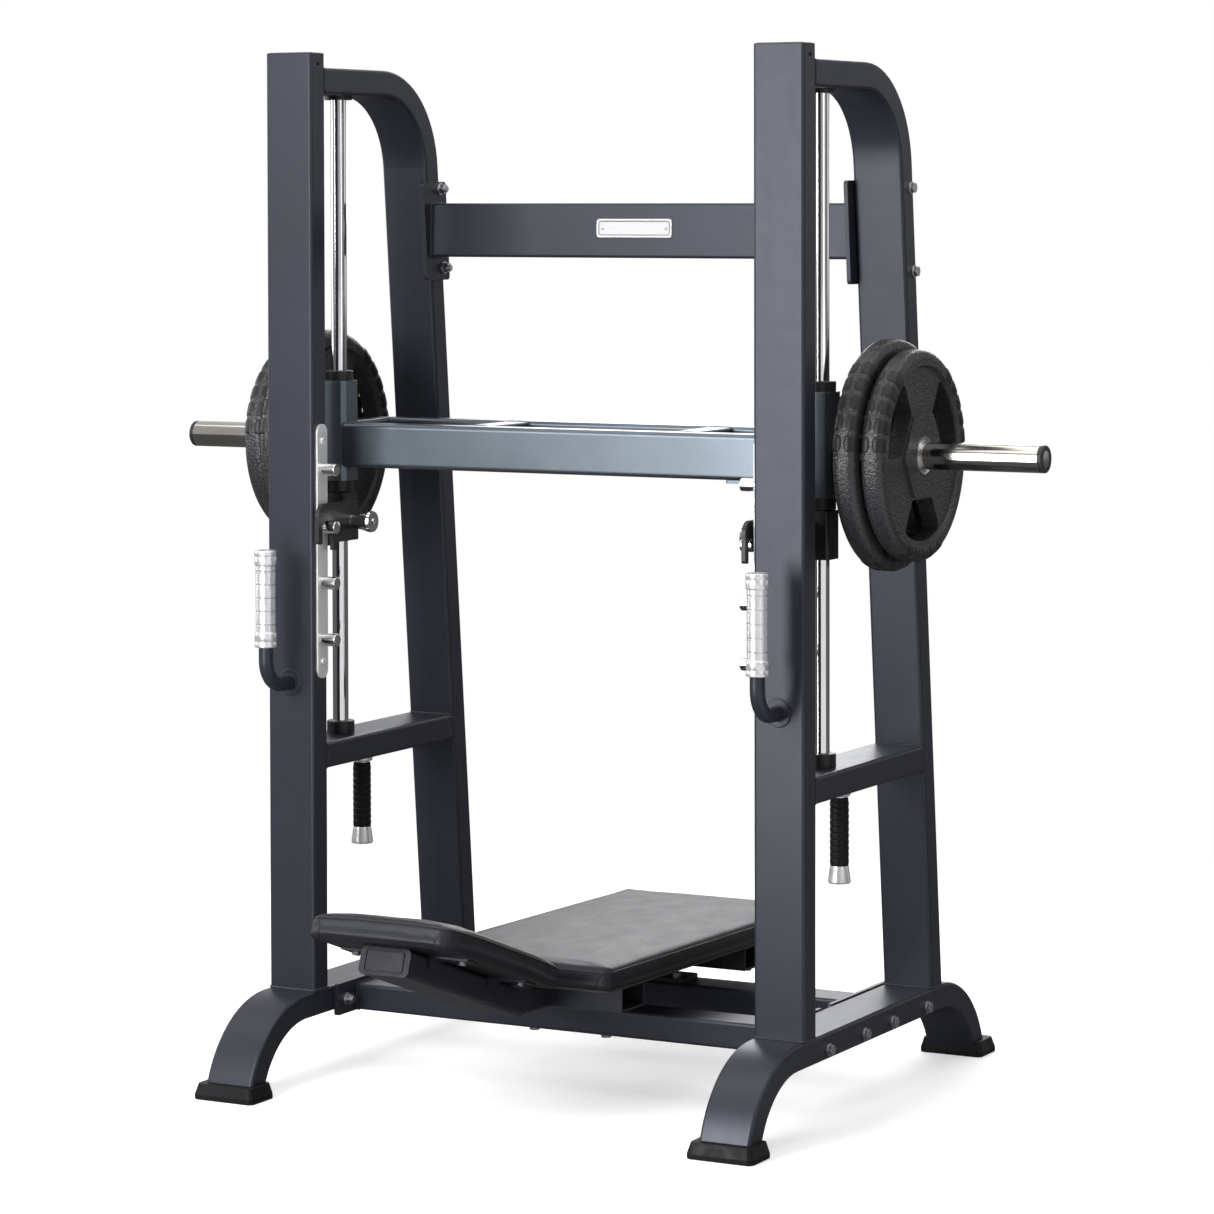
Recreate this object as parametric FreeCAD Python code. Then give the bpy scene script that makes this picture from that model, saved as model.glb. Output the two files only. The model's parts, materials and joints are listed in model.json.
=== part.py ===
import FreeCAD, Part
import math
import os
from FreeCAD import Vector

# Weight machine: two side frames, a plate-loaded carriage sliding on two guide
# rods, and a bench with a level main pad and a raked head pad.
# Millimetres. X runs across the machine (right +), Y to the back, Z up from the
# floor. It is drawn with Y = 0 on the front face of the front uprights, and moved
# along Y on export so that the origin lies under the middle of its depth.
# A "span" is a (low, high) pair of coordinates along one axis.

ALONG_X = (1, 0, 0)
ALONG_Y = (0, 1, 0)
ALONG_Z = (0, 0, 1)
DOWN = (0, 0, -1)
ORIGIN = Vector(0, 0, 0)


# ---------------------------------------------------------------------------
# Helpers
# ---------------------------------------------------------------------------
def around(centre, half):
    return centre - half, centre + half


def grow(span, margin):
    return span[0] - margin, span[1] + margin


def on_side(side, near, far):
    """X span between two distances from the middle plane; side is 1 right, -1 left"""
    return sorted((side * near, side * far))


def box(x, y, z):
    """box from three spans"""
    return Part.makeBox(x[1] - x[0], y[1] - y[0], z[1] - z[0], Vector(x[0], y[0], z[0]))


def cylinder(radius, length, base, axis=ALONG_X):
    return Part.makeCylinder(radius, length, Vector(*base), Vector(*axis))


def ring(outer, inner, length, base, axis=ALONG_X):
    return cylinder(outer, length, base, axis).cut(cylinder(inner, length, base, axis))


def fuse(parts):
    return parts[0].multiFuse(parts[1:]).removeSplitter()


def mirror(shape):
    return shape.mirror(ORIGIN, Vector(*ALONG_X))


def both_sides(solids):
    """compound of right-hand solids and their left-hand mirror images"""
    return Part.makeCompound(solids + [mirror(solid) for solid in solids])


def edges_along(solid, axis):
    """straight edges parallel to an axis"""
    found = []
    for edge in solid.Edges:
        if len(edge.Vertexes) == 2 and isinstance(edge.Curve, Part.Line):
            run = edge.Vertexes[1].Point - edge.Vertexes[0].Point
            if abs(abs(run.dot(Vector(*axis))) - run.Length) < 1e-6 * max(run.Length, 1):
                found.append(edge)
    return found


def edges_at(solid, limit, place, min_width=0.0):
    """edges whose bounding box has the given limit ("XMin", "ZMax"...) at a place"""
    return [edge for edge in solid.Edges
            if abs(getattr(edge.BoundBox, limit) - place) < 1e-4
            and edge.BoundBox.XLength >= min_width]


def rounded_box(x, y, z, radius, axis):
    """box with the edges parallel to the axis rounded"""
    solid = box(x, y, z)
    return solid.makeFillet(radius, edges_along(solid, axis))


def tube(x, y, z, radius, axis):
    """open-ended rectangular tube along an axis"""
    outer = rounded_box(x, y, z, radius, axis)
    # the bore runs past both ends
    bore = [grow(span, 10.0 if along else -WALL) for span, along in zip((x, y, z), axis)]
    return outer.cut(rounded_box(*bore, radius - WALL, axis))


def rounded_wire(x, y, z, radius):
    """level rounded rectangle at height z"""
    corners = ((x[1] - radius, y[1] - radius, 0), (x[0] + radius, y[1] - radius, 90),
               (x[0] + radius, y[0] + radius, 180), (x[1] - radius, y[0] + radius, 270))
    arcs = []
    for centre_x, centre_y, start in corners:
        angles = [math.radians(start + turn) for turn in (0, 45, 90)]
        arcs.append([Vector(centre_x + radius * math.cos(a), centre_y + radius * math.sin(a), z)
                     for a in angles])
    edges = []
    for k, points in enumerate(arcs):
        edges.append(Part.Arc(*points).toShape())
        edges.append(Part.makeLine(points[2], arcs[(k + 1) % 4][0]))
    return Part.Wire(edges)


def loft(sections):
    """ruled loft through (x span, y span, z, corner radius) sections"""
    return Part.makeLoft([rounded_wire(*section) for section in sections], True, True)


def polygon_face(points):
    return Part.Face(Part.makePolygon(points + [points[0]]))


def turned(profile, x=0.0, y=0.0):
    """solid of revolution about the vertical line at x, y from (radius, z) points"""
    solid = polygon_face([Vector(r, 0, z) for r, z in profile]).revolve(
        ORIGIN, Vector(*ALONG_Z), 360)
    solid.translate(Vector(x, y, 0))
    return solid


def hexagon_across_x(x, y, z, corner_radius):
    """hexagonal face square to X"""
    angles = [math.radians(60 * k) for k in range(6)]
    return polygon_face([Vector(x, y + corner_radius * math.cos(a),
                                z + corner_radius * math.sin(a)) for a in angles])


def hex_head(across_flats, height, base, axis):
    """hexagonal head with its far corners bevelled by a 45 degree cone"""
    corner_radius = across_flats / math.sqrt(3)
    angles = [math.radians(60 * k + 30) for k in range(6)]
    solid = polygon_face([Vector(corner_radius * math.cos(a), corner_radius * math.sin(a), 0)
                          for a in angles]).extrude(Vector(0, 0, height))
    tip = corner_radius * 0.90
    solid = solid.common(Part.makeCone(tip + height, tip, height, ORIGIN, Vector(*ALONG_Z)))
    rotation = FreeCAD.Rotation(Vector(*ALONG_Z), Vector(*axis))
    solid.Placement = FreeCAD.Placement(Vector(*base), rotation)
    return solid


def polar(centre, radius, degrees):
    """point in the YZ plane, measured from +Y towards +Z"""
    angle = math.radians(degrees)
    return Vector(0, centre[0] + radius * math.cos(angle), centre[1] + radius * math.sin(angle))


def bend(centre, radius, start, end):
    """arc in the YZ plane"""
    return Part.Arc(polar(centre, radius, start), polar(centre, radius, (start + end) / 2),
                    polar(centre, radius, end)).toShape()


def bent_bar(edges, x, radius, is_end):
    """YZ outline pushed along X, its side edges rounded except at the cut ends"""
    solid = Part.Face(Part.Wire(edges)).extrude(Vector(x[1] - x[0], 0, 0))
    solid.translate(Vector(x[0], 0, 0))
    rounded = []
    for edge in solid.Edges:
        bounds = edge.BoundBox
        on_side_face = any(abs(bounds.XMin - face) < 1e-4 and abs(bounds.XMax - face) < 1e-4
                           for face in x)
        if on_side_face and not is_end(bounds):
            rounded.append(edge)
    return solid.makeFillet(radius, rounded)


# ---------------------------------------------------------------------------
# Dimensions shared by several sections
# ---------------------------------------------------------------------------
TUBE_W = 100.0      # frame tubes, across the machine
TUBE_D = 50.0       # depth of the front uprights
TUBE_R = 6.0        # outer corner radius of the frame tubes
WALL = 4.0          # wall of every rectangular tube
SIDE_X = 509.0      # centre of the right side frame
SIDE_SPAN = around(SIDE_X, TUBE_W / 2)
INNER_X, OUTER_X = SIDE_SPAN

RAIL_Z = (120.0, 168.0)     # level run of the base rail
MID_RAIL_Z = (583.0, 632.0)
UPRIGHT_TOP = 1929.0
BACK_Y = 841.0              # rear edge of the rear feet

TOP_BEND = (271.2, 1704.0)  # (y, z) centre of the rear upright's top bend
TOP_BEND_OUTER = 200.0
TOP_BEND_INNER = 150.0
LEAN = 0.09                 # rear upright leans forward, mm per mm of height

ROD_R = 15.0
ROD_Y = 177.0
RUNNING_GAP = 0.05          # radial clearance round the rods

FLANGE_T = 8.0
FLANGE_X = INNER_X - FLANGE_T           # inner face of the right beam flanges
BASE_BEAM_Z = (110.0, 160.0)
FRONT_BEAM_Y = (138.0, 218.0)
REAR_BEAM_Y = (418.0, 500.0)

# (y, z) of the frame bolts
BASE_HOLES = [(y, 137.0) for y in (101.7, 256.4, 380.7, 536.7)]
TOP_HOLES = [(462.0, 1676.0), (476.0, 1521.0)]
HOLE_R = 6.5
BOLT_R = 6.0


def drill(solid, holes, start_x, depth):
    for y, z in holes:
        solid = solid.cut(cylinder(HOLE_R, depth, (start_x, y, z)))
    return solid


# ---------------------------------------------------------------------------
# Base rail, bent down at both ends, and its rubber feet
# ---------------------------------------------------------------------------
FRONT_BEND = (-22.0, -40.0)     # (y, z) centres of the rail's bends
REAR_BEND = (612.0, -42.0)
BEND_END = 8                    # degrees above level where the drawn bends stop
RAIL_CUT_Z = 15.0               # height of the rail's cut ends


def base_rail_solid(inset):
    """outline of the rail, shrunk by the inset on every side"""
    front_outer = RAIL_Z[1] - FRONT_BEND[1] - inset
    front_inner = RAIL_Z[0] - FRONT_BEND[1] + inset
    rear_outer = RAIL_Z[1] - REAR_BEND[1] - inset
    rear_inner = RAIL_Z[0] - REAR_BEND[1] + inset
    front_end = 180 - BEND_END
    edges = [
        bend(FRONT_BEND, front_outer, front_end, 90),
        Part.makeLine(polar(FRONT_BEND, front_outer, 90), polar(REAR_BEND, rear_outer, 90)),
        bend(REAR_BEND, rear_outer, 90, BEND_END),
        Part.makeLine(polar(REAR_BEND, rear_outer, BEND_END),
                      polar(REAR_BEND, rear_inner, BEND_END)),
        bend(REAR_BEND, rear_inner, BEND_END, 90),
        Part.makeLine(polar(REAR_BEND, rear_inner, 90), polar(FRONT_BEND, front_inner, 90)),
        bend(FRONT_BEND, front_inner, 90, front_end),
        Part.makeLine(polar(FRONT_BEND, front_inner, front_end),
                      polar(FRONT_BEND, front_outer, front_end))]
    solid = bent_bar(edges, grow(SIDE_SPAN, -inset), TUBE_R - inset,
                     lambda bounds: bounds.ZMax < 8.0)
    return solid.cut(box(grow(SIDE_SPAN, 5), (-400, 1000), (-200, RAIL_CUT_Z)))


def make_base_rail():
    rail = base_rail_solid(0.0).cut(base_rail_solid(WALL))
    return drill(rail, BASE_HOLES, INNER_X - 10, 120)


def make_foot(base_y, rim_y):
    """cup round one rail end: straight base, tapering to the rim"""
    base_x = around(SIDE_X, 65)
    foot = loft([(base_x, base_y, 0, 12),
                 (base_x, base_y, 9, 12),
                 (around(SIDE_X, 59), rim_y, 29, 10)])
    # guards the floor edge's rounding: if it fails, the foot keeps a sharp edge
    try:
        foot = foot.makeFillet(2.0, edges_at(foot, "ZMax", 0))
    except Exception:
        pass
    return foot.cut(base_rail_solid(0.0))


def make_feet():
    return both_sides([make_foot((-242.0, -162.0), (-236.0, -166.0)),
                       make_foot((760.0, BACK_Y), (764.0, 835.0))])


# ---------------------------------------------------------------------------
# Uprights and mid rail of a side frame
# ---------------------------------------------------------------------------
def make_front_upright():
    upright = tube(SIDE_SPAN, (0, TUBE_D), (RAIL_Z[1], UPRIGHT_TOP), TUBE_R, ALONG_Z)
    # small slot in each side face, close to the top
    for x in (INNER_X - 5, OUTER_X - 8):
        upright = upright.cut(box((x, x + 13), (20, 30), (1908, 1913)))
    return upright


def make_upright_cap():
    """lid with a plug inside the tube and a bevelled top"""
    lid_top = UPRIGHT_TOP + 1.2
    depth = (0, TUBE_D)
    plug_gap = WALL + 0.2
    lid = rounded_box(SIDE_SPAN, depth, (UPRIGHT_TOP, lid_top), TUBE_R, ALONG_Z)
    plug = rounded_box(grow(SIDE_SPAN, -plug_gap), grow(depth, -plug_gap),
                       (UPRIGHT_TOP - 14, UPRIGHT_TOP), 2.0, ALONG_Z)
    bevel = loft([(SIDE_SPAN, depth, lid_top, TUBE_R),
                  (grow(SIDE_SPAN, -4), grow(depth, -4), UPRIGHT_TOP + 3.0, 5.0)])
    return fuse([lid, plug, bevel])


def rear_upright_solid(inset, overrun=0.0):
    """leaning leg, top bend and level top run to the front upright"""
    outer, inner = TOP_BEND_OUTER - inset, TOP_BEND_INNER + inset
    lean = math.atan(LEAN)
    start = math.degrees(lean)
    leg = Vector(0, math.sin(lean), -math.cos(lean)) * 1620.0
    outer_start, inner_start = polar(TOP_BEND, outer, start), polar(TOP_BEND, inner, start)
    front_y = TUBE_D - overrun
    front_top = Vector(0, front_y, TOP_BEND[1] + outer)
    front_low = Vector(0, front_y, TOP_BEND[1] + inner)
    edges = [Part.makeLine(outer_start + leg, outer_start),
             bend(TOP_BEND, outer, start, 90),
             Part.makeLine(polar(TOP_BEND, outer, 90), front_top),
             Part.makeLine(front_top, front_low),
             Part.makeLine(front_low, polar(TOP_BEND, inner, 90)),
             bend(TOP_BEND, inner, 90, start),
             Part.makeLine(inner_start, inner_start + leg),
             Part.makeLine(inner_start + leg, outer_start + leg)]
    solid = bent_bar(edges, grow(SIDE_SPAN, -inset), TUBE_R - inset,
                     lambda bounds: bounds.ZMax < 160.0 or bounds.YMax < front_y + 0.1)
    # the leg stands on top of the base rail
    return solid.cut(box(grow(SIDE_SPAN, 5), (300, 900), (-100, RAIL_Z[1])))


def make_rear_upright():
    upright = rear_upright_solid(0.0).cut(rear_upright_solid(WALL, 5.0))
    return drill(upright, TOP_HOLES, INNER_X - 10, 120)


def make_mid_rail():
    rail = tube(SIDE_SPAN, (TUBE_D, 560.0), MID_RAIL_Z, TUBE_R, ALONG_Y)
    rail = rail.cut(rear_upright_solid(0.0))
    # removes what is left behind the rear upright
    return rail.cut(box(grow(SIDE_SPAN, 1), (524.0, 700), grow(MID_RAIL_Z, 5)))


# ---------------------------------------------------------------------------
# Guide rod with its lower collar and upper flange
# ---------------------------------------------------------------------------
ROD_Z = (MID_RAIL_Z[1], TOP_BEND[1] + TOP_BEND_INNER)
CLAMP_R = 26.5
COLLAR_H = 25.0
ROD_FLANGE_H = 8.0


def make_guide_rod():
    return cylinder(ROD_R, ROD_Z[1] - ROD_Z[0], (SIDE_X, ROD_Y, ROD_Z[0]), ALONG_Z)


def make_rod_clamps():
    collar = ring(CLAMP_R, ROD_R, COLLAR_H, (SIDE_X, ROD_Y, ROD_Z[0]), ALONG_Z)
    collar = collar.makeChamfer(1.5, edges_at(collar, "ZMin", ROD_Z[0] + COLLAR_H, 50))
    flange = ring(CLAMP_R, ROD_R, ROD_FLANGE_H,
                  (SIDE_X, ROD_Y, ROD_Z[1] - ROD_FLANGE_H), ALONG_Z)
    return both_sides([collar, flange])


# ---------------------------------------------------------------------------
# Beams that join the side frames, their bolts and the badge plate
# ---------------------------------------------------------------------------
TOP_BEAM_Y = (425.0, 475.0)
TOP_BEAM_Z = (1543.0, 1648.0)
# (y, z) corners of the top beam's flange
TOP_FLANGE = [(397.5, 1690), (483, 1690), (499, 1497), (413.5, 1497)]
HEX_FLATS = 18.0
WASHER_R, WASHER_T = 12.0, 2.0


def make_base_beam(y, flange_y):
    beam = tube(around(0, FLANGE_X), y, BASE_BEAM_Z, 6.0, ALONG_X)
    flange = rounded_box((FLANGE_X, INNER_X), flange_y,
                         (BASE_BEAM_Z[0], RAIL_Z[1] + 2), 6.0, ALONG_X)
    holes = [hole for hole in BASE_HOLES if flange_y[0] < hole[0] < flange_y[1]]
    flange = drill(flange, holes, INNER_X - 20, 30)
    return fuse([beam, flange, mirror(flange)])


def make_top_beam():
    beam = tube(around(0, FLANGE_X), TOP_BEAM_Y, TOP_BEAM_Z, 6.0, ALONG_X)
    flange = polygon_face([Vector(0, y, z) for y, z in TOP_FLANGE]).extrude(
        Vector(FLANGE_T, 0, 0))
    flange.translate(Vector(FLANGE_X, 0, 0))
    flange = flange.makeFillet(8.0, edges_along(flange, ALONG_X))
    flange = drill(flange, TOP_HOLES, INNER_X - 20, 30)
    return fuse([beam, flange, mirror(flange)])


def make_badge_plate():
    """thin plate on the front of the top beam"""
    return rounded_box(around(0, 81), (TOP_BEAM_Y[0] - 2.0, TOP_BEAM_Y[0]),
                       (1582, 1618), 6.0, ALONG_Y)


def make_frame_bolt(y, z):
    """shank with head and washer on the frame's outer face"""
    shank = cylinder(BOLT_R, OUTER_X - FLANGE_X + 18.0, (FLANGE_X - 16.0, y, z))
    head = hex_head(HEX_FLATS, 7.0, (OUTER_X + WASHER_T, y, z), ALONG_X)
    washer = cylinder(WASHER_R, WASHER_T, (OUTER_X, y, z))
    return fuse([shank, head, washer])


def make_frame_nut(y, z):
    """nut and washer on the flange's inner face"""
    washer_x = FLANGE_X - WASHER_T
    nut = hex_head(HEX_FLATS, 10.0, (washer_x, y, z), (-1, 0, 0))
    washer = cylinder(WASHER_R, WASHER_T, (washer_x, y, z))
    return fuse([nut, washer]).cut(cylinder(BOLT_R, 40, (FLANGE_X - 30, y, z)))


# ---------------------------------------------------------------------------
# Peg plate and pegs on the inner face of each front upright
# ---------------------------------------------------------------------------
PEG_Y = 28.5
PEG_Z = (1149.0, 1041.0, 936.0, 829.0)
PEG_R = 12.0
PEG_TIP_X = 423.0
PEG_PLATE_Z = (756.0, 1235.0)
PEG_PLATE_X = INNER_X - 4.0     # inner face of the peg plate


def make_peg_plate():
    plate = rounded_box((PEG_PLATE_X, INNER_X), around(PEG_Y, 17.5), PEG_PLATE_Z,
                        17.0, ALONG_X)
    tip_x = PEG_PLATE_X - 3.0
    # socket-head screw near each end
    for z in grow(PEG_PLATE_Z, -32):
        screw = cylinder(6.0, 3.0, (tip_x, PEG_Y, z))
        screw = screw.makeFillet(1.4, edges_at(screw, "XMax", tip_x))
        plate = plate.fuse(screw.cut(cylinder(2.5, 1.8, (tip_x, PEG_Y, z))))
    return plate.removeSplitter()


def make_peg(z):
    peg = cylinder(PEG_R, PEG_PLATE_X - PEG_TIP_X, (PEG_TIP_X, PEG_Y, z))
    return peg.makeFillet(1.5, edges_at(peg, "XMax", PEG_TIP_X))


# ---------------------------------------------------------------------------
# L-shaped grip bar on the front of each front upright
# ---------------------------------------------------------------------------
BAR_R = 13.5
BAR_Z = 749.0               # height of the level part
BAR_Y = -86.0               # place of the upright part
BAR_BEND_R = 50.0
GRIP_Z = (823.0, 1004.0)
GRIP_END_T = 4.0            # closed end of the grip above the bar
# (radius, height above the grip's bottom)
GRIP_LOWER = [(BAR_R, 0), (19.4, 0), (20.5, 1.5), (20.5, 26), (19.4, 28), (18.7, 29),
              (18.7, 54), (17.9, 56), (17.9, 62), (18.7, 64)]
# (radius, depth below the grip's top)
GRIP_UPPER = [(18.7, 64), (17.9, 62), (17.9, 56), (18.7, 54), (18.7, 29), (19.4, 28),
              (20.5, 26), (20.5, 2.5), (18.2, 0), (0.0, 0), (0.0, GRIP_END_T),
              (BAR_R, GRIP_END_T)]


def make_grip_bar():
    start = Vector(SIDE_X, 0, BAR_Z)
    bend_y, bend_z = BAR_Y + BAR_BEND_R, BAR_Z + BAR_BEND_R
    diagonal = BAR_BEND_R * math.sin(math.pi / 4)
    bend_start = Vector(SIDE_X, bend_y, BAR_Z)
    bend_end = Vector(SIDE_X, BAR_Y, bend_z)
    path = Part.Wire([
        Part.makeLine(start, bend_start),
        Part.Arc(bend_start, Vector(SIDE_X, bend_y - diagonal, bend_z - diagonal),
                 bend_end).toShape(),
        Part.makeLine(bend_end, Vector(SIDE_X, BAR_Y, GRIP_Z[1] - GRIP_END_T))])
    profile = Part.Wire(Part.makeCircle(BAR_R, start, Vector(0, -1, 0)))
    bar = path.makePipeShell([profile], True, True)
    rosette = cylinder(24.0, 4.0, (SIDE_X, -4.0, BAR_Z), ALONG_Y)
    return fuse([bar, rosette])


def make_grip_sleeve():
    profile = [(r, GRIP_Z[0] + rise) for r, rise in GRIP_LOWER]
    profile += [(r, GRIP_Z[1] - drop) for r, drop in GRIP_UPPER]
    return turned(profile, SIDE_X, BAR_Y)


# ---------------------------------------------------------------------------
# Handle hanging under the mid rail
# ---------------------------------------------------------------------------
HANDLE_Y = 254.0
HANDLE_R = 12.5         # core inside the grip
# (radius, z), from the mid rail down
HANDLE_CORE = [(0.0, MID_RAIL_Z[0]), (20.5, MID_RAIL_Z[0]), (20.5, 572.0), (18.5, 569.5),
               (13.5, 569.0), (13.5, 567.0), (HANDLE_R, 567.0), (HANDLE_R, 442.0),
               (16.8, 442.0), (17.6, 438.0), (19.0, 428.0), (20.6, 416.0), (21.0, 413.0),
               (19.6, 410.0), (0.0, 410.0)]
RIB_COUNT, RIB_PITCH, RIB_START_Z = 10, 11.6, 446.0


def make_handle_core():
    return turned(HANDLE_CORE, SIDE_X, HANDLE_Y)


def make_handle_grip():
    profile = [(HANDLE_R, 442.0), (16.6, 442.0)]
    for k in range(RIB_COUNT):
        z = RIB_START_Z + k * RIB_PITCH
        profile += [(17.4, z + 1.5), (17.4, z + 8.0), (16.5, z + 9.8)]
    profile += [(16.6, 566.0), (13.6, 567.0), (HANDLE_R, 567.0)]
    return turned(profile, SIDE_X, HANDLE_Y)


# ---------------------------------------------------------------------------
# Bench
# ---------------------------------------------------------------------------
MAIN_Y = (-80.0, 785.0)
MAIN_SLOPE = -0.0176        # the main pad falls slightly towards the back
MAIN_ANGLE = math.degrees(math.atan(MAIN_SLOPE))
MAIN_EDGE = Vector(0, MAIN_Y[0], 285.0)     # top front edge of the main pad
PAD_T, BOARD_T = 38.0, 12.0
TUBE_DEPTH = PAD_T + BOARD_T                # main pad's top down to the bench tube

HEAD_TILT = 19.07           # degrees, front end up
HEAD_EDGE = Vector(0, -521.5, 434.5)        # top front edge of the head pad
HEAD_L, HEAD_W, HEAD_T = 430.0, 300.0, 51.0
HEAD_BOARD_N = (-39.0, -29.0)               # head board below the head pad's top
TILT = math.radians(HEAD_TILT)
HEAD_BACK = Vector(0, math.cos(TILT), -math.sin(TILT))  # along the head pad, backwards
HEAD_UP = Vector(0, math.sin(TILT), math.cos(TILT))     # out of its top

BENCH_HALF_W = 50.0
BENCH_D = 50.0              # depth of the bench tube
BENCH_HALF_D = BENCH_D / 2
BENCH_R = 9.0
# middle of the raked tube's front end, 51.85 behind the head pad's front edge
RAKED_START = HEAD_EDGE + HEAD_BACK * 51.85 - HEAD_UP * (HEAD_T + BENCH_HALF_D)

BRACKET_PLACES = (124.0, 339.0)             # along the head pad
BRACKET_T = 4.0
CHANNEL_H = 46.0
WING_T = 8.0                # foot plates either side of the bench tube


def lay_on_head(shape, start=HEAD_EDGE):
    """turn a shape drawn level at the origin to the head pad's rake"""
    shape.rotate(ORIGIN, Vector(*ALONG_X), -HEAD_TILT)
    shape.translate(start)
    return shape


def lay_on_main(shape):
    """the same for the main pad; its top front edge is the origin"""
    shape.rotate(ORIGIN, Vector(*ALONG_X), MAIN_ANGLE)
    shape.translate(MAIN_EDGE)
    return shape


def maybe_rounded_box(x, y, z, radius, axis):
    return rounded_box(x, y, z, radius, axis) if radius else box(x, y, z)


def head_box(x, along, above, radius=0.0):
    """box in the head pad's directions, measured from its top front edge"""
    return lay_on_head(maybe_rounded_box(x, along, above, radius, ALONG_Z))


def raked_box(half_w, along, half_d, radius):
    """box rounded along the raked tube, measured from RAKED_START"""
    return lay_on_head(rounded_box(around(0, half_w), along, around(0, half_d),
                                   radius, ALONG_Y), RAKED_START)


def main_box(x, y, above, radius=0.0, axis=ALONG_Z):
    """box parallel to the main pad, heights measured from its top plane"""
    along = (y[0] - MAIN_Y[0], y[1] - MAIN_Y[0])
    return lay_on_main(maybe_rounded_box(x, along, above, radius, axis))


def make_main_pad():
    pad = main_box(around(0, 216), MAIN_Y, (-PAD_T, 0.0), 20.0)
    top_edges = []
    for edge in pad.Edges:
        middle = edge.CenterOfMass
        pad_top = MAIN_EDGE.z + MAIN_SLOPE * (middle.y - MAIN_Y[0])
        if edge.BoundBox.ZLength < 16.0 and middle.z > pad_top - 2.0:
            top_edges.append(edge)
    return pad.makeFillet(9.0, top_edges)


def make_main_board():
    return main_box(around(0, 204), grow(MAIN_Y, -12), (-TUBE_DEPTH, -PAD_T), 14.0)


def make_head_board():
    return head_box(around(0, HEAD_W / 2 - 12), (12, HEAD_L - 12), HEAD_BOARD_N, 16.0)


def make_head_pad():
    pad = head_box(around(0, HEAD_W / 2), (0, HEAD_L), (-HEAD_T, 0.0), 26.0)
    top_edges = []
    for edge in pad.Edges:
        middle = edge.CenterOfMass
        if abs((middle - Vector(middle.x, HEAD_EDGE.y, HEAD_EDGE.z)).dot(HEAD_UP)) < 0.5:
            top_edges.append(edge)
    pad = pad.makeFillet(8.0, top_edges)
    # the pad wraps round the board and is open below it
    opening = head_box(around(0, HEAD_W / 2 - 24), (24, HEAD_L - 24),
                       (-HEAD_T - 5, HEAD_BOARD_N[0]), 10.0)
    return pad.cut(make_head_board()).cut(opening)


def knee_point(above_axis, depth):
    """where a line along the raked tube meets one this deep below the main pad's top"""
    start = RAKED_START + HEAD_UP * above_axis
    level_z = MAIN_EDGE.z - depth / math.cos(math.radians(MAIN_ANGLE))
    distance = ((level_z + MAIN_SLOPE * (start.y - MAIN_Y[0]) - start.z)
                / (HEAD_BACK.z - MAIN_SLOPE * HEAD_BACK.y))
    return start + HEAD_BACK * distance


def trim_at_knee(solid, reach):
    """keep the part on one side of the mitre plane: reach is - for front, + for back"""
    low = knee_point(-BENCH_HALF_D, TUBE_DEPTH + BENCH_D)
    high = knee_point(BENCH_HALF_D, TUBE_DEPTH)
    direction = high - low
    direction.normalize()
    start, end = low - direction * 500, low + direction * 500
    offset = Vector(0, reach, 0)
    half = polygon_face([start, end, end + offset, start + offset]).extrude(Vector(400, 0, 0))
    half.translate(Vector(-200, 0, 0))
    return solid.common(half)


def make_bench_tube():
    """raked tube under the head pad, mitred to a level one under the main pad"""
    level_z = (-TUBE_DEPTH - BENCH_D, -TUBE_DEPTH)
    raked = raked_box(BENCH_HALF_W, (0.0, 560.0), BENCH_HALF_D, BENCH_R)
    level = main_box(around(0, BENCH_HALF_W), (-260.0, 610.0), level_z, BENCH_R, ALONG_Y)
    raked_core = raked_box(BENCH_HALF_W - WALL, (-5.0, 570.0), BENCH_HALF_D - WALL,
                           BENCH_R - WALL)
    level_core = main_box(around(0, BENCH_HALF_W - WALL), (-270.0, 620.0),
                          grow(level_z, -WALL), BENCH_R - WALL, ALONG_Y)
    return fuse([trim_at_knee(raked, -1200).cut(trim_at_knee(raked_core, -1200)),
                 trim_at_knee(level, 1200).cut(trim_at_knee(level_core, 1200))])


def make_bench_tube_cap():
    """front cap with a rectangular groove in its face and a plug in the tube"""
    cap = raked_box(BENCH_HALF_W, (-7.0, 0.0), BENCH_HALF_D, 11.0)
    groove = raked_box(39.0, (-8.0, -5.0), BENCH_HALF_D - 5.5, 5.0).cut(
        raked_box(36.5, (-9.0, -4.0), BENCH_HALF_D - 8.0, 3.5))
    plug = raked_box(BENCH_HALF_W - 4.2, (0.0, 16.0), BENCH_HALF_D - 4.2, 4.6)
    return fuse([cap.cut(groove), plug])


def make_head_brackets():
    """angles from the raked tube's sides out under the head pad"""
    brackets = []
    for place in BRACKET_PLACES:
        along = around(place, 19)
        for side in (1, -1):
            flat = head_box(on_side(side, BENCH_HALF_W, 128.0), along,
                            (-HEAD_T - BRACKET_T, -HEAD_T))
            leg = head_box(on_side(side, BENCH_HALF_W, BENCH_HALF_W + BRACKET_T), along,
                           (-HEAD_T - 22.0, -HEAD_T))
            brackets.append(fuse([flat, leg]))
    return Part.makeCompound(brackets)


def make_cross_channels():
    """open-ended rectangular tubes under the main pad, either side of the bench tube"""
    channels = []
    height = (-TUBE_DEPTH - CHANNEL_H, -TUBE_DEPTH)
    for y in ((0.0, 88.0), (503.0, 590.0)):
        for side in (1, -1):
            x = on_side(side, BENCH_HALF_W, 195.0)
            bore = main_box(grow(x, 1), grow(y, -WALL), grow(height, -WALL))
            channels.append(main_box(x, y, height).cut(bore))
    return Part.makeCompound(channels)


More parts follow.
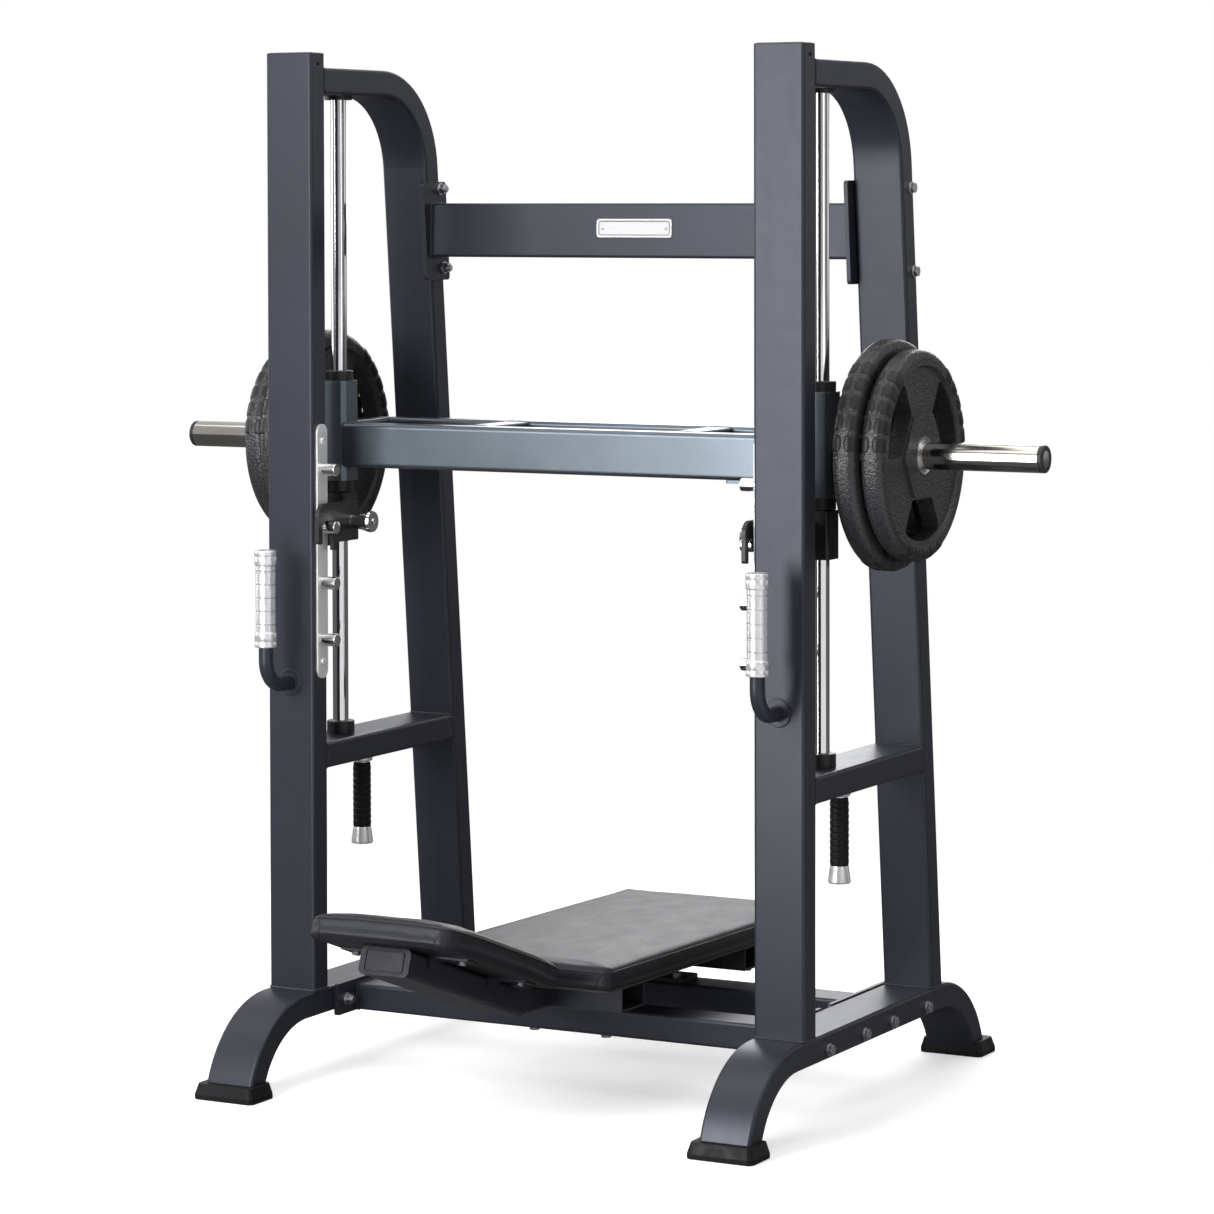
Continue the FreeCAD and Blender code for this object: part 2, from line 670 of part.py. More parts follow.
def make_foot_plate(beam_y):
    """block on a base beam up to the bench tube, with a thin wing each side"""
    y = grow(beam_y, -4)
    beam_top = BASE_BEAM_Z[1]
    plate = rounded_box(around(0, 100), y, (beam_top, 300), 8.0, ALONG_Z)
    plate = plate.cut(main_box(around(0, 150), grow(y, 40), (-TUBE_DEPTH - BENCH_D, 200.0)))
    for side in (1, -1):
        plate = plate.cut(box(on_side(side, BENCH_HALF_W, 101.0), grow(y, 1),
                              (beam_top + WING_T, 400)))
    return plate


def make_bench_bolts():
    heads = []
    # below the base beams and on the foot plates' wings
    for beam_y in (FRONT_BEAM_Y, REAR_BEAM_Y):
        y = sum(beam_y) / 2 - 16
        for x in (-76.0, 76.0):
            heads.append(hex_head(17.0, 7.0, (x, y, BASE_BEAM_Z[0]), DOWN))
            heads.append(hex_head(17.0, 8.0, (x, y, BASE_BEAM_Z[1] + WING_T), ALONG_Z))
    # below the cross channels
    for x, y in ((-166.0, 44.0), (166.0, 44.0), (-180.0, 546.0), (180.0, 546.0)):
        base = (x, y - MAIN_Y[0], -TUBE_DEPTH - CHANNEL_H)
        heads.append(lay_on_main(hex_head(13.0, 6.0, base, DOWN)))
    # below the head pad brackets
    for place in BRACKET_PLACES:
        for x in (-107.0, 107.0):
            base = (x, place, -HEAD_T - BRACKET_T)
            heads.append(lay_on_head(hex_head(13.0, 6.0, base, DOWN)))
    return Part.makeCompound(heads)


# ---------------------------------------------------------------------------
# Weight plates: (x span, radius)
# ---------------------------------------------------------------------------
INNER_PLATE = ((578.5, 623.5), 209.5)
OUTER_PLATE = ((625.0, 670.0), 191.0)
HUB_R = 34.5
TYRE_R = 15.0       # rounding of the rim
WEB_INSET = 6.0     # web set back from each face of the rim

SLEEVE_Y, SLEEVE_Z = 275.0, 1193.0
SLEEVE_R = 25.0


def plate_profile(thickness, radius):
    """half section of the plate without its hub, in the XZ plane with Z as radius"""
    corner = TYRE_R - TYRE_R * math.sqrt(0.5)
    points = [Vector(x, 0, r) for x, r in (
        (WEB_INSET, HUB_R), (WEB_INSET, radius * 0.83), (0.0, radius * 0.855),
        (0.0, radius - TYRE_R), (TYRE_R, radius), (thickness - TYRE_R, radius),
        (thickness, radius - TYRE_R), (thickness, radius * 0.855),
        (thickness - WEB_INSET, radius * 0.83), (thickness - WEB_INSET, HUB_R))]
    # the segments that start at these points are arcs through the given middle
    arc_middles = {3: Vector(corner, 0, radius - corner),
                   5: Vector(thickness - corner, 0, radius - corner)}
    edges = []
    for k, start in enumerate(points):
        end = points[(k + 1) % len(points)]
        if k in arc_middles:
            edges.append(Part.Arc(start, arc_middles[k], end).toShape())
        else:
            edges.append(Part.makeLine(start, end))
    return Part.Wire(edges)


def make_plate(x, radius):
    thickness = x[1] - x[0]
    plate = Part.Face(plate_profile(thickness, radius)).revolve(ORIGIN, Vector(*ALONG_X), 360)
    through = thickness + 20
    # three openings between three spokes, widening outwards
    for k in range(3):
        angle = math.radians(270 + 120 * k)
        out = Vector(0, math.cos(angle), math.sin(angle)) * radius
        around_hub = Vector(0, -math.sin(angle), math.cos(angle)) * radius
        start = Vector(-10, 0, 0)
        corners = [start + out * reach + around_hub * half for reach, half in (
            (0.41, 0.23), (0.98, 0.565), (0.98, -0.565), (0.41, -0.23))]
        opening = polygon_face(corners).extrude(Vector(through, 0, 0))
        opening = opening.common(cylinder(0.81 * radius, through, (-10, 0, 0)))
        opening = opening.makeFillet(9.0, edges_along(opening, ALONG_X))
        plate = plate.cut(opening)
    # raised six-sided centre
    centre = hexagon_across_x(2.0, 0, 0, 0.385 * radius / math.cos(math.pi / 6)).extrude(
        Vector(thickness - 3.5, 0, 0))
    plate = plate.fuse(centre.cut(cylinder(HUB_R, 200, (-50, 0, 0)))).removeSplitter()
    plate.translate(Vector(x[0], SLEEVE_Y, SLEEVE_Z))
    return plate


def make_plate_hub(x):
    thickness = x[1] - x[0]
    hub = ring(HUB_R, SLEEVE_R + 0.1, thickness, (0, 0, 0))
    # shallow turned groove in both faces
    for groove_x in (-1.0, thickness - 2.0):
        hub = hub.cut(ring(32.2, 27.6, 3.0, (groove_x, 0, 0)))
    hub.translate(Vector(x[0], SLEEVE_Y, SLEEVE_Z))
    return hub


# ---------------------------------------------------------------------------
# Carriage
# ---------------------------------------------------------------------------
CARRIAGE_Z = (1146.0, 1230.0)
CARRIAGE_FRONT_Y = (144.0, 194.0)
CARRIAGE_REAR_Y = (354.0, 394.0)
CARRIAGE_OUTER_X = 540.0
HOUSING_HALF = 28.0
HOUSING_X = around(SIDE_X, HOUSING_HALF)
HOUSING_Y = around(ROD_Y, HOUSING_HALF)
HOUSING_Z = (1119.0, 1310.0)
BEARING_Z = (1096.0, 1329.0)    # far ends of the rings below and above the housing
BUSH_R = 21.0
SLEEVE_BORE = 19.0
SLEEVE_END = 905.0
CAP_T = 10.0


def make_carriage_frame():
    """front and rear beams, two tubes between them and two behind the housings"""
    parts = [tube(around(0, HOUSING_X[0]), CARRIAGE_FRONT_Y, CARRIAGE_Z, 9.0, ALONG_X),
             tube(around(0, CARRIAGE_OUTER_X), CARRIAGE_REAR_Y, CARRIAGE_Z, 7.0, ALONG_X)]
    for side in (1, -1):
        parts.append(tube(on_side(side, 193.0, 243.0), (CARRIAGE_FRONT_Y[1], CARRIAGE_REAR_Y[0]),
                          (CARRIAGE_Z[0] + 6, CARRIAGE_Z[1] - 1.0), 5.0, ALONG_Y))
        parts.append(tube(on_side(side, 500.0, CARRIAGE_OUTER_X),
                          (HOUSING_Y[1], CARRIAGE_REAR_Y[0]), CARRIAGE_Z, 6.0, ALONG_Y))
    # tab under the front beam, on the right only
    parts.append(rounded_box((330.0, 375.0), (150.0, 190.0),
                             (CARRIAGE_Z[0] - 6.0, CARRIAGE_Z[0]), 3.0, ALONG_Z))
    return fuse(parts)


def make_housing():
    housing = box(HOUSING_X, HOUSING_Y, HOUSING_Z)
    housing = housing.makeChamfer(8.0, edges_along(housing, ALONG_Z))
    return housing.cut(cylinder(BUSH_R, 300, (SIDE_X, ROD_Y, 1100), ALONG_Z))


def make_bush():
    return ring(BUSH_R, ROD_R + RUNNING_GAP, HOUSING_Z[1] - HOUSING_Z[0],
                (SIDE_X, ROD_Y, HOUSING_Z[0]), ALONG_Z)


def make_bearing_ring(z, rounded_z):
    """ring over a z span, its outer edge rounded at one end"""
    solid = ring(27.0, ROD_R + RUNNING_GAP, z[1] - z[0], (SIDE_X, ROD_Y, z[0]), ALONG_Z)
    return solid.makeFillet(3.0, edges_at(solid, "ZMin", rounded_z, 50))


def make_bearing_rings():
    return both_sides([
        make_bearing_ring((BEARING_Z[0], HOUSING_Z[0]), BEARING_Z[0]),
        make_bearing_ring((HOUSING_Z[1], BEARING_Z[1]), BEARING_Z[1])])


def make_sleeve():
    """weight sleeve with a base flange and a shoulder just inside the plates"""
    # (outer radius, length, start x)
    steps = ((SLEEVE_R, SLEEVE_END - CAP_T - CARRIAGE_OUTER_X, CARRIAGE_OUTER_X),
             (40.0, 8.0, CARRIAGE_OUTER_X),
             (36.0, 12.0, INNER_PLATE[0][0] - 12.1))
    sleeve = fuse([ring(radius, SLEEVE_BORE, length, (x, SLEEVE_Y, SLEEVE_Z))
                   for radius, length, x in steps])
    # shallow groove just beyond the outer plate
    return sleeve.cut(ring(26.0, 24.6, 1.2, (OUTER_PLATE[0][1] + 2.0, SLEEVE_Y, SLEEVE_Z)))


def make_sleeve_cap():
    """rounded end cap with a plug and a shallow recess in its face"""
    start = SLEEVE_END - CAP_T
    cap = cylinder(SLEEVE_R, CAP_T, (start, SLEEVE_Y, SLEEVE_Z))
    cap = cap.makeFillet(3.5, edges_at(cap, "XMin", SLEEVE_END))
    cap = fuse([cap, cylinder(18.9, 14.0, (start - 14.0, SLEEVE_Y, SLEEVE_Z))])
    return cap.cut(cylinder(17.0, 2.0, (SLEEVE_END - 2.0, SLEEVE_Y, SLEEVE_Z)))


# ---------------------------------------------------------------------------
# Safety stop: collar on the rod, hook plate with an open notch, knob
# ---------------------------------------------------------------------------
STOP_Z = (1008.0, 1095.9)
STOP_HALF = 25.0
HOOK_X = (440.0, 448.0)
HOOK_Z = (1011.0, 1086.0)
NOTCH_Y = (4.0, 41.5)
NOTCH_R = 12.6
KNOB_Y, KNOB_Z = 104.0, 1048.0
# (x, y) outline of the arm from the collar to the hook plate
STOP_ARM = [(HOOK_X[1], 104.0), (SIDE_X - 10, 104.0), (SIDE_X - 10, 160.0),
            (SIDE_X - STOP_HALF, 160.0), (HOOK_X[1], 131.0)]
# (radius, distance from the hook plate)
KNOB_PROFILE = [(0, 0), (14.5, 0), (14.5, 6), (14.0, 10), (14.6, 18), (17.0, 30),
                (19.8, 40), (20.5, 45), (19.5, 50), (0, 50)]


def make_stop_collar():
    collar = box(around(SIDE_X, STOP_HALF), around(ROD_Y, STOP_HALF), STOP_Z)
    collar = collar.makeFillet(7.0, edges_along(collar, ALONG_Z))
    arm = polygon_face([Vector(x, y, 1018.0) for x, y in STOP_ARM]).extrude(Vector(0, 0, 62.0))
    bore = cylinder(ROD_R + RUNNING_GAP, 200, (SIDE_X, ROD_Y, 950), ALONG_Z)
    return fuse([collar, arm]).cut(bore)


def make_stop_hook():
    hook = box(HOOK_X, (-9.0, 132.0), HOOK_Z)
    hook = hook.makeFillet(24.0, [edge for edge in edges_along(hook, ALONG_X)
                                  if edge.CenterOfMass.y < 0 and edge.CenterOfMass.z > 1080])
    hook = hook.makeFillet(5.0, [edge for edge in edges_along(hook, ALONG_X)
                                 if edge.CenterOfMass.y < 0 and edge.CenterOfMass.z < 1012])
    # notch open downwards, with a round-cornered top over the second peg from the top
    peg_z = PEG_Z[1]
    slot_x = grow(HOOK_X, 2)
    centres = grow(NOTCH_Y, -NOTCH_R)
    notch = box(slot_x, NOTCH_Y, (950, peg_z))
    notch = notch.fuse(box(slot_x, centres, (1000, peg_z + NOTCH_R)))
    for y in reversed(centres):
        notch = notch.fuse(cylinder(NOTCH_R, 12, (slot_x[0], y, peg_z)))
    # small block below the plate, behind the notch
    return fuse([hook.cut(notch), box(HOOK_X, (43.0, 56.0), (997.0, HOOK_Z[0]))])


def make_stop_knob():
    """flared knob pointing inwards, with a hexagonal socket"""
    knob = turned(KNOB_PROFILE)
    knob.rotate(ORIGIN, Vector(*ALONG_Y), -90)
    knob.translate(Vector(HOOK_X[0], KNOB_Y, KNOB_Z))
    socket = hexagon_across_x(HOOK_X[0] - 51, KNOB_Y, KNOB_Z, 7)
    return knob.cut(socket.extrude(Vector(9, 0, 0)))


# ---------------------------------------------------------------------------
# Export
# ---------------------------------------------------------------------------
# drawn on the right; each also gives a mirrored left piece
paired = {
    "base_rail": make_base_rail(),
    "front_upright": make_front_upright(),
    "rear_upright": make_rear_upright(),
    "mid_rail": make_mid_rail(),
    "guide_rod": make_guide_rod(),
    "peg_plate": make_peg_plate(),
    "grip_bar": make_grip_bar(),
    "grip_sleeve": make_grip_sleeve(),
    "bearing_housing": make_housing(),
    "weight_sleeve": make_sleeve(),
    "stop_collar": make_stop_collar(),
    "stop_hook": make_stop_hook(),
    "stop_knob": make_stop_knob(),
    "inner_plate": make_plate(*INNER_PLATE),
    "inner_plate_hub": make_plate_hub(INNER_PLATE[0]),
    "outer_plate": make_plate(*OUTER_PLATE),
    "outer_plate_hub": make_plate_hub(OUTER_PLATE[0]),
}
nodes = {
    "rubber_feet": make_feet(),
    "upright_caps": both_sides([make_upright_cap()]),
    "rod_clamps": make_rod_clamps(),
    "rear_top_beam": make_top_beam(),
    "front_base_beam": make_base_beam(FRONT_BEAM_Y, (68.0, 290.0)),
    "rear_base_beam": make_base_beam(REAR_BEAM_Y, (326.0, 592.0)),
    "frame_bolts": both_sides([make_frame_bolt(*hole) for hole in BASE_HOLES + TOP_HOLES]),
    "frame_nuts": both_sides([make_frame_nut(*hole) for hole in BASE_HOLES + TOP_HOLES]),
    "badge_plate": make_badge_plate(),
    "stop_pegs": both_sides([make_peg(z) for z in PEG_Z]),
    "handle_cores": both_sides([make_handle_core()]),
    "handle_grips": both_sides([make_handle_grip()]),
    "bench_tube": make_bench_tube(),
    "bench_tube_cap": make_bench_tube_cap(),
    "bench_cross_channels": make_cross_channels(),
    "bench_foot_plates": Part.makeCompound([make_foot_plate(FRONT_BEAM_Y),
                                            make_foot_plate(REAR_BEAM_Y)]),
    "head_pad_brackets": make_head_brackets(),
    "pad_boards": Part.makeCompound([make_main_board(), make_head_board()]),
    "head_pad": make_head_pad(),
    "main_pad": make_main_pad(),
    "bench_bolts": make_bench_bolts(),
    "carriage_frame": make_carriage_frame(),
    "bearing_rings": make_bearing_rings(),
    "linear_bushes": both_sides([make_bush()]),
    "sleeve_end_caps": both_sides([make_sleeve_cap()]),
}
for name, solid in paired.items():
    nodes["right_" + name] = solid
    nodes["left_" + name] = mirror(solid)

# the head pad's lower front edge is the machine's front
front_y = HEAD_EDGE.y - HEAD_T * math.sin(TILT)
shift_y = -(front_y + BACK_Y) / 2

os.makedirs("parts", exist_ok=True)
for name, shape in nodes.items():
    moved = shape.copy()
    moved.translate(Vector(0, shift_y, 0))
    moved.exportStep("parts/%s.step" % name)
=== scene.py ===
import json
import math
import random

import bmesh
import bpy
from mathutils import Euler, Matrix, Vector


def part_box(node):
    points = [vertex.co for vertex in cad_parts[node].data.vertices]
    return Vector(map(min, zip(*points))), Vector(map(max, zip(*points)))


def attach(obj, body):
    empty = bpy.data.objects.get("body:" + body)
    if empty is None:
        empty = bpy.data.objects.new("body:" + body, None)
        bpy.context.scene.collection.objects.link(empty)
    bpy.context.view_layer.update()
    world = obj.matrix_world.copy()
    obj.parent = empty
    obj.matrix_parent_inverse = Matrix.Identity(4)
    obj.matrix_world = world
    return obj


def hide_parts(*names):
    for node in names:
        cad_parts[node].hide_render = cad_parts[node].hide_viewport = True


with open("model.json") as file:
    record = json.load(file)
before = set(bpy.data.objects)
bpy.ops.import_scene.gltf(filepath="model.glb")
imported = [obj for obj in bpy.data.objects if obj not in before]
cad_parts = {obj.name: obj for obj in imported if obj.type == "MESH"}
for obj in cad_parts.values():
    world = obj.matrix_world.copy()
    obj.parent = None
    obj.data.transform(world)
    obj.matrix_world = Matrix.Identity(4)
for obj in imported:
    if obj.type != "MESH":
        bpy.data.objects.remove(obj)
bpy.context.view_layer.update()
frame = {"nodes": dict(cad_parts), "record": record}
NODES = frame["nodes"]
scene = bpy.context.scene
scene.view_settings.view_transform = "Standard"
random.seed(7)

# drawing coordinates (mm, Y from the front face of the uprights) to the row frame (m)
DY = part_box("right_front_upright")[0].y


def R(x, y, z):
    return Vector((x / 1000.0, y / 1000.0 + DY, z / 1000.0))


# ---------------------------------------------------------------------------
# materials
# ---------------------------------------------------------------------------
class Mat:
    def __init__(self, name, color, rough=0.5, metal=0.0, spec=0.5):
        self.m = bpy.data.materials.new(name)
        self.m.use_nodes = True
        self.t = self.m.node_tree
        self.n = self.t.nodes
        self.b = self.n["Principled BSDF"]
        self.b.inputs["Base Color"].default_value = (*color, 1)
        self.b.inputs["Roughness"].default_value = rough
        self.b.inputs["Metallic"].default_value = metal
        if "Specular IOR Level" in self.b.inputs:
            self.b.inputs["Specular IOR Level"].default_value = spec
        self.color = color
        self.co = self.n.new("ShaderNodeTexCoord").outputs["Object"]
        self.normal = None

    def link(self, a, b):
        self.t.links.new(a, b)

    def mapped(self, scale=(1, 1, 1), rot=(0, 0, 0)):
        mp = self.n.new("ShaderNodeMapping")
        mp.inputs["Scale"].default_value = scale
        mp.inputs["Rotation"].default_value = rot
        self.link(self.co, mp.inputs["Vector"])
        return mp.outputs["Vector"]

    def noise(self, scale, detail=2.0, vec=None, rough=0.5):
        t = self.n.new("ShaderNodeTexNoise")
        t.inputs["Scale"].default_value = scale
        t.inputs["Detail"].default_value = detail
        t.inputs["Roughness"].default_value = rough
        self.link(vec or self.co, t.inputs["Vector"])
        return t.outputs["Fac"]

    def voronoi(self, scale, feature="F1", vec=None, out="Distance"):
        t = self.n.new("ShaderNodeTexVoronoi")
        t.feature = feature
        t.inputs["Scale"].default_value = scale
        self.link(vec or self.co, t.inputs["Vector"])
        return t.outputs[out]

    def ramp(self, fac, stops):
        r = self.n.new("ShaderNodeValToRGB")
        el = r.color_ramp.elements
        while len(el) < len(stops):
            el.new(0.5)
        for e, (p, c) in zip(el, stops):
            e.position = p
            e.color = (*c, 1) if len(c) == 3 else c
        self.link(fac, r.inputs["Fac"])
        return r.outputs["Color"]

    def grey(self, fac, a, b, lo=0.3, hi=0.7):
        return self.ramp(fac, [(lo, (a, a, a)), (hi, (b, b, b))])

    def math(self, op, a, b=None):
        m = self.n.new("ShaderNodeMath")
        m.operation = op
        for i, v in enumerate((a, b)):
            if v is None:
                continue
            if isinstance(v, (int, float)):
                m.inputs[i].default_value = v
            else:
                self.link(v, m.inputs[i])
        return m.outputs[0]

    def mix(self, fac, a, b, mode="MIX"):
        m = self.n.new("ShaderNodeMixRGB")
        m.blend_type = mode
        for i, v in ((0, fac), (1, a), (2, b)):
            if isinstance(v, (int, float)):
                m.inputs[i].default_value = v
            elif isinstance(v, tuple):
                m.inputs[i].default_value = (*v, 1)
            else:
                self.link(v, m.inputs[i])
        return m.outputs[0]

    def edge(self, radius):
        """soft rounded borders, and a mask that is 1 right on them"""
        bv = self.n.new("ShaderNodeBevel")
        bv.samples = 4
        bv.inputs["Radius"].default_value = radius
        self.normal = bv.outputs["Normal"]
        geo = self.n.new("ShaderNodeNewGeometry")
        d = self.n.new("ShaderNodeVectorMath")
        d.operation = "DOT_PRODUCT"
        self.link(bv.outputs["Normal"], d.inputs[0])
        self.link(geo.outputs["Normal"], d.inputs[1])
        return self.ramp(d.outputs["Value"], [(0.82, (1, 1, 1)), (0.985, (0, 0, 0))])

    def bump(self, height, strength, dist):
        b = self.n.new("ShaderNodeBump")
        b.inputs["Strength"].default_value = strength
        b.inputs["Distance"].default_value = dist
        self.link(height, b.inputs["Height"])
        if self.normal is not None:
            self.link(self.normal, b.inputs["Normal"])
        self.normal = b.outputs["Normal"]

    def done(self, color=None, rough=None, metal=None):
        if color is not None:
            self.link(color, self.b.inputs["Base Color"])
        if rough is not None:
            self.link(rough, self.b.inputs["Roughness"])
        if metal is not None:
            self.link(metal, self.b.inputs["Metallic"])
        if self.normal is not None:
            self.link(self.normal, self.b.inputs["Normal"])
        return self.m


def scaled(c, k):
    return tuple(min(1.0, v * k) for v in c)


def powder(name, c, rough, metal, fleck, bev=0.0012):
    """powder coat: orange peel, fine metallic fleck, slightly lighter borders as a painted edge highlight"""
    m = Mat(name, c, rough, metal)
    em = m.edge(bev)
    broad = m.noise(3.0, 3)
    fine = m.noise(1500.0, 2)
    col = m.mix(m.grey(broad, 0.0, 1.0, 0.35, 0.65), scaled(c, 0.93), scaled(c, 1.08))
    spark = m.ramp(fine, [(0.60, (0, 0, 0)), (0.78, (1, 1, 1))])
    col = m.mix(m.math("MULTIPLY", spark, fleck), col, scaled(c, 3.2))
    # painted highlight: the borders are lightened along the bevel mask
    col = m.mix(m.math("MULTIPLY", em, 0.35), col, scaled(c, 1.9))
    rg = m.grey(m.noise(40.0, 4), rough - 0.015, rough + 0.025)
    m.bump(m.noise(420.0, 2), 0.10, 0.0006)
    m.bump(fine, 0.05, 0.0002)
    return m.done(col, rg)


def chrome(name, c=(0.80, 0.80, 0.81), rough=0.07, streak=(1, 1, 1)):
    m = Mat(name, c, rough, 1.0)
    em = m.edge(0.0006)
    st = m.noise(60.0, 3, m.mapped(streak))
    smear = m.noise(14.0, 4)
    col = m.mix(m.grey(smear, 0.0, 1.0), scaled(c, 0.94), scaled(c, 1.05))
    rg = m.mix(0.5, m.grey(st, rough * 0.7, rough * 1.5), m.grey(smear, rough * 0.8, rough * 1.4))
    m.bump(st, 0.015, 0.0002)
    return m.done(col, rg)


def rubber(name, c, rough, cell=0.0, depth=0.0, edge_highlight=0.25, bev=0.0015):
    m = Mat(name, c, rough, 0.0, 0.4)
    em = m.edge(bev)
    broad = m.noise(9.0, 4)
    col = m.mix(m.grey(broad, 0.0, 1.0), scaled(c, 0.85), scaled(c, 1.25))
    # painted highlight: the borders are lightened along the bevel mask
    col = m.mix(m.math("MULTIPLY", em, edge_highlight), col, scaled(c, 3.0))
    if cell:
        peb = m.voronoi(cell, "SMOOTH_F1")
        # painted highlight: the crown of each pebble is lightened, standing in for its shading
        col = m.mix(m.math("MULTIPLY", m.grey(peb, 1.0, 0.0, 0.0, 0.5), 0.42), col, scaled(c, 4.0))
        m.bump(m.math("SUBTRACT", 1.0, peb), depth, 0.0012)
    m.bump(m.noise(900.0, 3), 0.14, 0.0004)
    rg = m.grey(m.noise(60.0, 4), rough - 0.08, rough + 0.10)
    return m.done(col, rg)


def leather(name, c):
    """coated upholstery: cell grain, pores, long soft creases"""
    m = Mat(name, c, 0.42, 0.0, 0.5)
    cells = m.voronoi(620.0, "DISTANCE_TO_EDGE")
    pores = m.noise(1500.0, 3)
    crease = m.noise(22.0, 5, m.mapped((1.0, 0.55, 1.0)), 0.6)
    broad = m.noise(5.0, 3)
    g = m.ramp(cells, [(0.0, (0, 0, 0)), (0.16, (1, 1, 1))])
    col = m.mix(m.grey(broad, 0.0, 1.0), scaled(c, 0.85), scaled(c, 1.25))
    # painted shade: the valleys of the cell grain, where the bump sinks, are darkened
    col = m.mix(m.math("MULTIPLY", m.math("SUBTRACT", 1.0, g), 0.5), col, scaled(c, 0.45))
    m.bump(crease, 0.10, 0.004)
    m.bump(g, 0.22, 0.0005)
    m.bump(pores, 0.08, 0.0002)
    rg = m.mix(0.5, m.grey(g, 0.58, 0.38, 0.0, 1.0), m.grey(crease, 0.34, 0.50))
    return m.done(col, rg)


def brushed(name, c, rough, along, scale=240.0):
    m = Mat(name, c, rough, 1.0)
    m.edge(0.0008)
    br = m.noise(scale, 3, m.mapped(along))
    col = m.mix(m.grey(br, 0.0, 1.0), scaled(c, 0.9), scaled(c, 1.08))
    m.bump(br, 0.03, 0.0001)
    return m.done(col, m.grey(br, rough - 0.06, rough + 0.10))


def plywood(name, c):
    m = Mat(name, c, 0.6)
    gr = m.noise(30.0, 6, m.mapped((8.0, 0.6, 8.0)), 0.65)
    ply = m.n.new("ShaderNodeTexWave")
    ply.bands_direction = "Z"
    ply.inputs["Scale"].default_value = 95.0
    ply.inputs["Distortion"].default_value = 0.6
    m.link(m.co, ply.inputs["Vector"])
    col = m.mix(m.grey(gr, 0.0, 1.0), scaled(c, 0.6), scaled(c, 1.8))
    col = m.mix(0.25, col, m.mix(ply.outputs["Fac"], scaled(c, 0.6), scaled(c, 1.6)))
    m.bump(gr, 0.15, 0.0005)
    return m.done(col, m.grey(gr, 0.5, 0.75))


def knurl(name, c, rough):
    m = Mat(name, c, rough, 1.0)
    m.edge(0.0004)
    w = m.n.new("ShaderNodeTexWave")
    w.bands_direction = "Z"
    w.inputs["Scale"].default_value = 260.0
    m.link(m.co, w.inputs["Vector"])
    ns = m.noise(50.0, 4)
    col = m.mix(m.grey(ns, 0.0, 1.0), scaled(c, 0.95), scaled(c, 1.05))
    m.bump(w.outputs["Fac"], 0.12, 0.0002)
    return m.done(col, m.grey(ns, rough - 0.03, rough + 0.05))


FRAME = powder("frame_powder", (0.021, 0.0225, 0.031), 0.36, 0.10, 0.5)
BENCH = powder("bench_powder", (0.020, 0.021, 0.025), 0.36, 0.10, 0.5)
CARRIAGE = powder("carriage_powder", (0.115, 0.136, 0.158), 0.33, 0.85, 0.5)
WELD = powder("weld_powder", (0.022, 0.023, 0.028), 0.32, 0.1, 0.4, 0.0003)
CWELD = powder("carriage_weld", (0.10, 0.12, 0.14), 0.30, 0.8, 0.4, 0.0003)
BLACKST = powder("black_steel", (0.018, 0.018, 0.021), 0.38, 0.3, 0.3, 0.001)
CHROME = chrome("hard_chrome", streak=(1, 1, 9))
CHROME_X = chrome("sleeve_chrome", (0.52, 0.50, 0.465), 0.12, (9, 1, 1))
STAINLESS = brushed("stainless", (0.90, 0.89, 0.88), 0.34, (2.0, 2.0, 0.05), 900.0)
ZINC = brushed("zinc_hardware", (0.50, 0.50, 0.52), 0.34, (1, 1, 1), 300.0)
STEEL = brushed("bush_steel", (0.5, 0.5, 0.52), 0.25, (1, 1, 0.1), 400.0)
ALU = knurl("knurled_aluminium", (0.80, 0.80, 0.82), 0.30)
BADGE = brushed("badge_metal", (0.58, 0.58, 0.59), 0.5, (0.1, 6, 6), 500.0)
BADGE_RIM = brushed("badge_rim", (0.80, 0.80, 0.82), 0.22, (0.1, 6, 6), 500.0)
CHROME_H = chrome("hub_chrome", (0.74, 0.73, 0.72), 0.14, (1, 1, 1))
# the cap's borders carry a strong painted highlight
CAPPL = rubber("cap_plastic", (0.015, 0.0155, 0.018), 0.30, 0, 0, 1.0, 0.0012)
DISC = brushed("sleeve_disc", (0.42, 0.42, 0.44), 0.34, (1, 1, 1), 300.0)
BLACKPL = rubber("black_plastic", (0.016, 0.016, 0.018), 0.42, 0, 0, 0.2, 0.0008)
FOOT = rubber("foot_rubber", (0.008, 0.008, 0.0095), 0.50, 0, 0, 0.30)
GRIPR = rubber("grip_rubber", (0.007, 0.007, 0.008), 0.50, 0, 0, 0.3, 0.0006)
PLATE = rubber("plate_rubber", (0.019, 0.019, 0.0215), 0.38, 260.0, 1.0, 0.55, 0.002)
RIM = rubber("plate_rim", (0.012, 0.012, 0.0135), 0.42, 0, 0, 0.3, 0.002)
LEATHER = leather("pad_leather", (0.012, 0.012, 0.0145))
PIPING = leather("pad_piping", (0.011, 0.011, 0.012))
THREAD = rubber("pad_thread", (0.02, 0.02, 0.022), 0.7, 0, 0, 0.0)
BOARD = plywood("board_ply", (0.035, 0.030, 0.026))



def tune(mat, spec, tint=None):
    b = mat.node_tree.nodes["Principled BSDF"]
    b.inputs["Specular IOR Level"].default_value = spec
    if tint:
        b.inputs["Specular Tint"].default_value = (*tint, 1.0)


COOL = (0.87, 0.91, 1.0)
for mt in (FRAME, BENCH, WELD):
    tune(mt, 0.42, COOL)
tune(LEATHER, 0.32, COOL)
tune(PIPING, 0.45, COOL)
tune(FOOT, 0.16)
tune(GRIPR, 0.18)
tune(PLATE, 0.50)
tune(RIM, 0.34)
tune(CAPPL, 0.12)
BADGE.node_tree.nodes["Principled BSDF"].inputs["Metallic"].default_value = 0.15
STAINLESS.node_tree.nodes["Principled BSDF"].inputs["Metallic"].default_value = 0.62
ALU.node_tree.nodes["Principled BSDF"].inputs["Metallic"].default_value = 0.75

